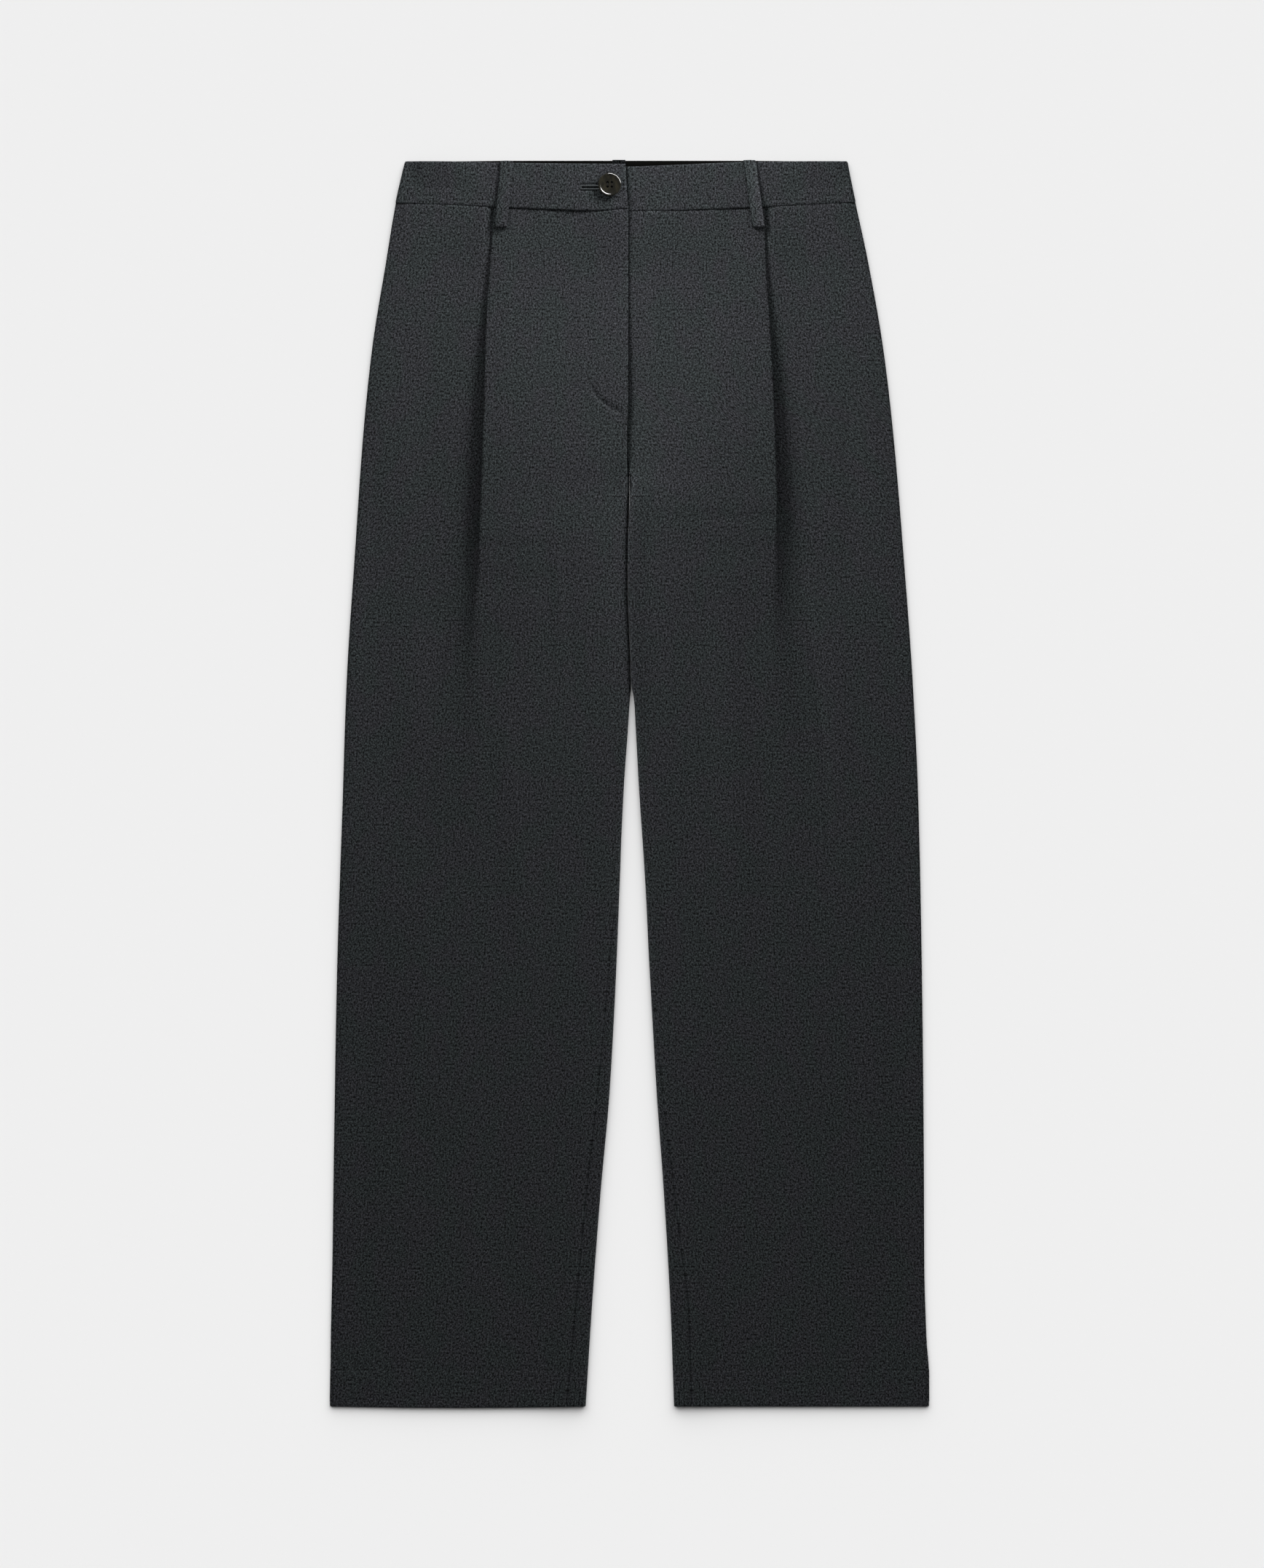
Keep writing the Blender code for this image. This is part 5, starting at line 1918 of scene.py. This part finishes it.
@dataclass
class Studio:
    """The pale floor, the soft light and the camera straight above."""

    frame_height: float = 1292.4
    centre: Flat = (2.0, -0.7)
    lens: float = 180.0
    sensor: float = 36.0
    floor_size: float = 14.0
    floor_colour: str = "#f0f0f0"
    sky: float = 0.12
    floor_sun: Sun = Sun("floor_sun", 4.6, 95.0, 36.0)
    cloth_sun: Sun = Sun("cloth_sun", 0.9, 150.0, 80.0)
    out_of_cloth_sun: tuple[str, ...] = ("horn_button", "button_thread")
    lamps: tuple[Lamp, ...] = (
        Lamp("key_right", (0.56, 1.10, 0.40), (-0.10, 0.10, 0.0), 0.35, 0.35, 18.5,
             ("cloth_front_right", "cloth_back_right", "band_front_right", "loop_front_right",
              "loop_front_left", "button_thread")),
        Lamp("key_left", (-0.56, 1.10, 0.40), (0.10, 0.10, 0.0), 0.35, 0.35, 18.5,
             ("cloth_front_left", "cloth_back_left", "band_front_left", "buttonhole_purl",
              "fly_stitching")),
        Lamp("fill_right", (-0.38, 0.78, 0.28), (-0.17, 0.42, 0.0), 0.3, 0.3, 0.74,
             ("cloth_front_right", "band_front_right", "loop_front_right")),
        Lamp("fill_left", (0.38, 0.78, 0.28), (0.17, 0.42, 0.0), 0.3, 0.3, 0.7,
             ("cloth_front_left", "band_front_left", "loop_front_left")),
        Lamp("rim_light", (0.424, 1.117, 0.65), (-0.016, 0.49, 0.01), 1.3, 0.18, 22.0,
             ("horn_button",)),
    )

    def build_floor(self) -> bpy.types.Object:
        """The floor, evenly pale."""
        mesh = bmesh.new()
        bmesh.ops.create_grid(mesh, x_segments=1, y_segments=1, size=self.floor_size / 2)
        floor = place_mesh("floor", mesh, 1.0)
        values = {"Base Color": srgb(self.floor_colour), "Roughness": 1.0, "Specular IOR Level": 0.0}
        floor.data.materials.append(Recipe("matt_paper_sweep").finish({}, values))
        return floor

    def build_light(self, pieces: Sequence[bpy.types.Object], floor: bpy.types.Object) -> None:
        """An even sky, soft suns from beyond the waist, and a soft box for each half of the cloth."""
        world = bpy.data.worlds.new("studio")
        world.use_nodes = True
        background = world.node_tree.nodes["Background"]
        background.inputs["Color"].default_value = (1.0, 1.0, 1.0, 1.0)
        background.inputs["Strength"].default_value = self.sky
        bpy.context.scene.world = world
        cloth = [piece for piece in pieces if piece.name not in self.out_of_cloth_sun]
        for sun, lit in ((self.floor_sun, [floor]), (self.cloth_sun, cloth)):
            data = bpy.data.lights.new(sun.name, "SUN")
            data.angle = math.radians(sun.angle)
            disc = place_lamp(data, sun.strength, lit)
            disc.rotation_euler = (math.radians(sun.elevation - 90), 0, 0)
        for lamp in self.lamps:
            data = bpy.data.lights.new(lamp.name, "AREA")
            data.shape = "RECTANGLE"
            data.size, data.size_y = lamp.width, lamp.depth
            box = place_lamp(data, lamp.power, [piece for piece in pieces if piece.name in lamp.lights])
            box.location = lamp.place
            way = Vector(lamp.aim) - box.location
            box.rotation_euler = way.to_track_quat("-Z", "Y").to_euler()

    def build_camera(self) -> None:
        """A long lens straight above, framing the trousers."""
        data = bpy.data.cameras.new("camera")
        data.lens, data.sensor_width = self.lens, self.sensor
        data.clip_end = 50.0
        camera = place_object("camera", data)
        distance = self.frame_height * self.lens / self.sensor
        camera.location = Vector((*self.centre, distance)) * MM
        bpy.context.scene.camera = camera
        bpy.context.scene.view_settings.view_transform = "Standard"


def main() -> None:
    """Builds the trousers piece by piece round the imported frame."""
    logging.basicConfig(level=logging.INFO, format="%(name)s: %(message)s")
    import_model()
    finishes = Finishes(
        WorstedTwill().build(), LiningTwill().build(), SpunThread().build(),
        SpunThread("silk_buttonhole_twist", "#2f3436").build(), HornResin().build(),
    )
    pieces = []
    for side in Side:
        lie = Lie(side)
        front = FrontPanel(side, lie)
        pieces.append(BackPanel(side, lie).build(finishes))
        pieces.append(front.build(finishes))
        if side is Side.RIGHT:
            pieces.append(front.sew_fly(finishes))
    waistband = Waistband()
    hole = Buttonhole(waistband.form)
    lapping = waistband.build_front(Side.RIGHT, finishes, hole)
    hole.cut(lapping)
    pieces += [lapping, waistband.build_front(Side.LEFT, finishes, hole), waistband.build_back(finishes)]
    pieces.append(hole.build(finishes))
    pieces.append(BeltLoop(Side.RIGHT, 101.2, 106.0, 54.5, waistband.form).build(finishes))
    pieces.append(BeltLoop(Side.LEFT, 98.7, 106.2, 54.5, waistband.form).build(finishes))
    pieces.append(CentreBackLoop().build(finishes))
    button = HornButton()
    pieces.append(button.build(finishes))
    pieces.append(button.sew_on(finishes))
    studio = Studio()
    floor = studio.build_floor()
    studio.build_light(pieces, floor)
    studio.build_camera()


if __name__ == "__main__":
    main()
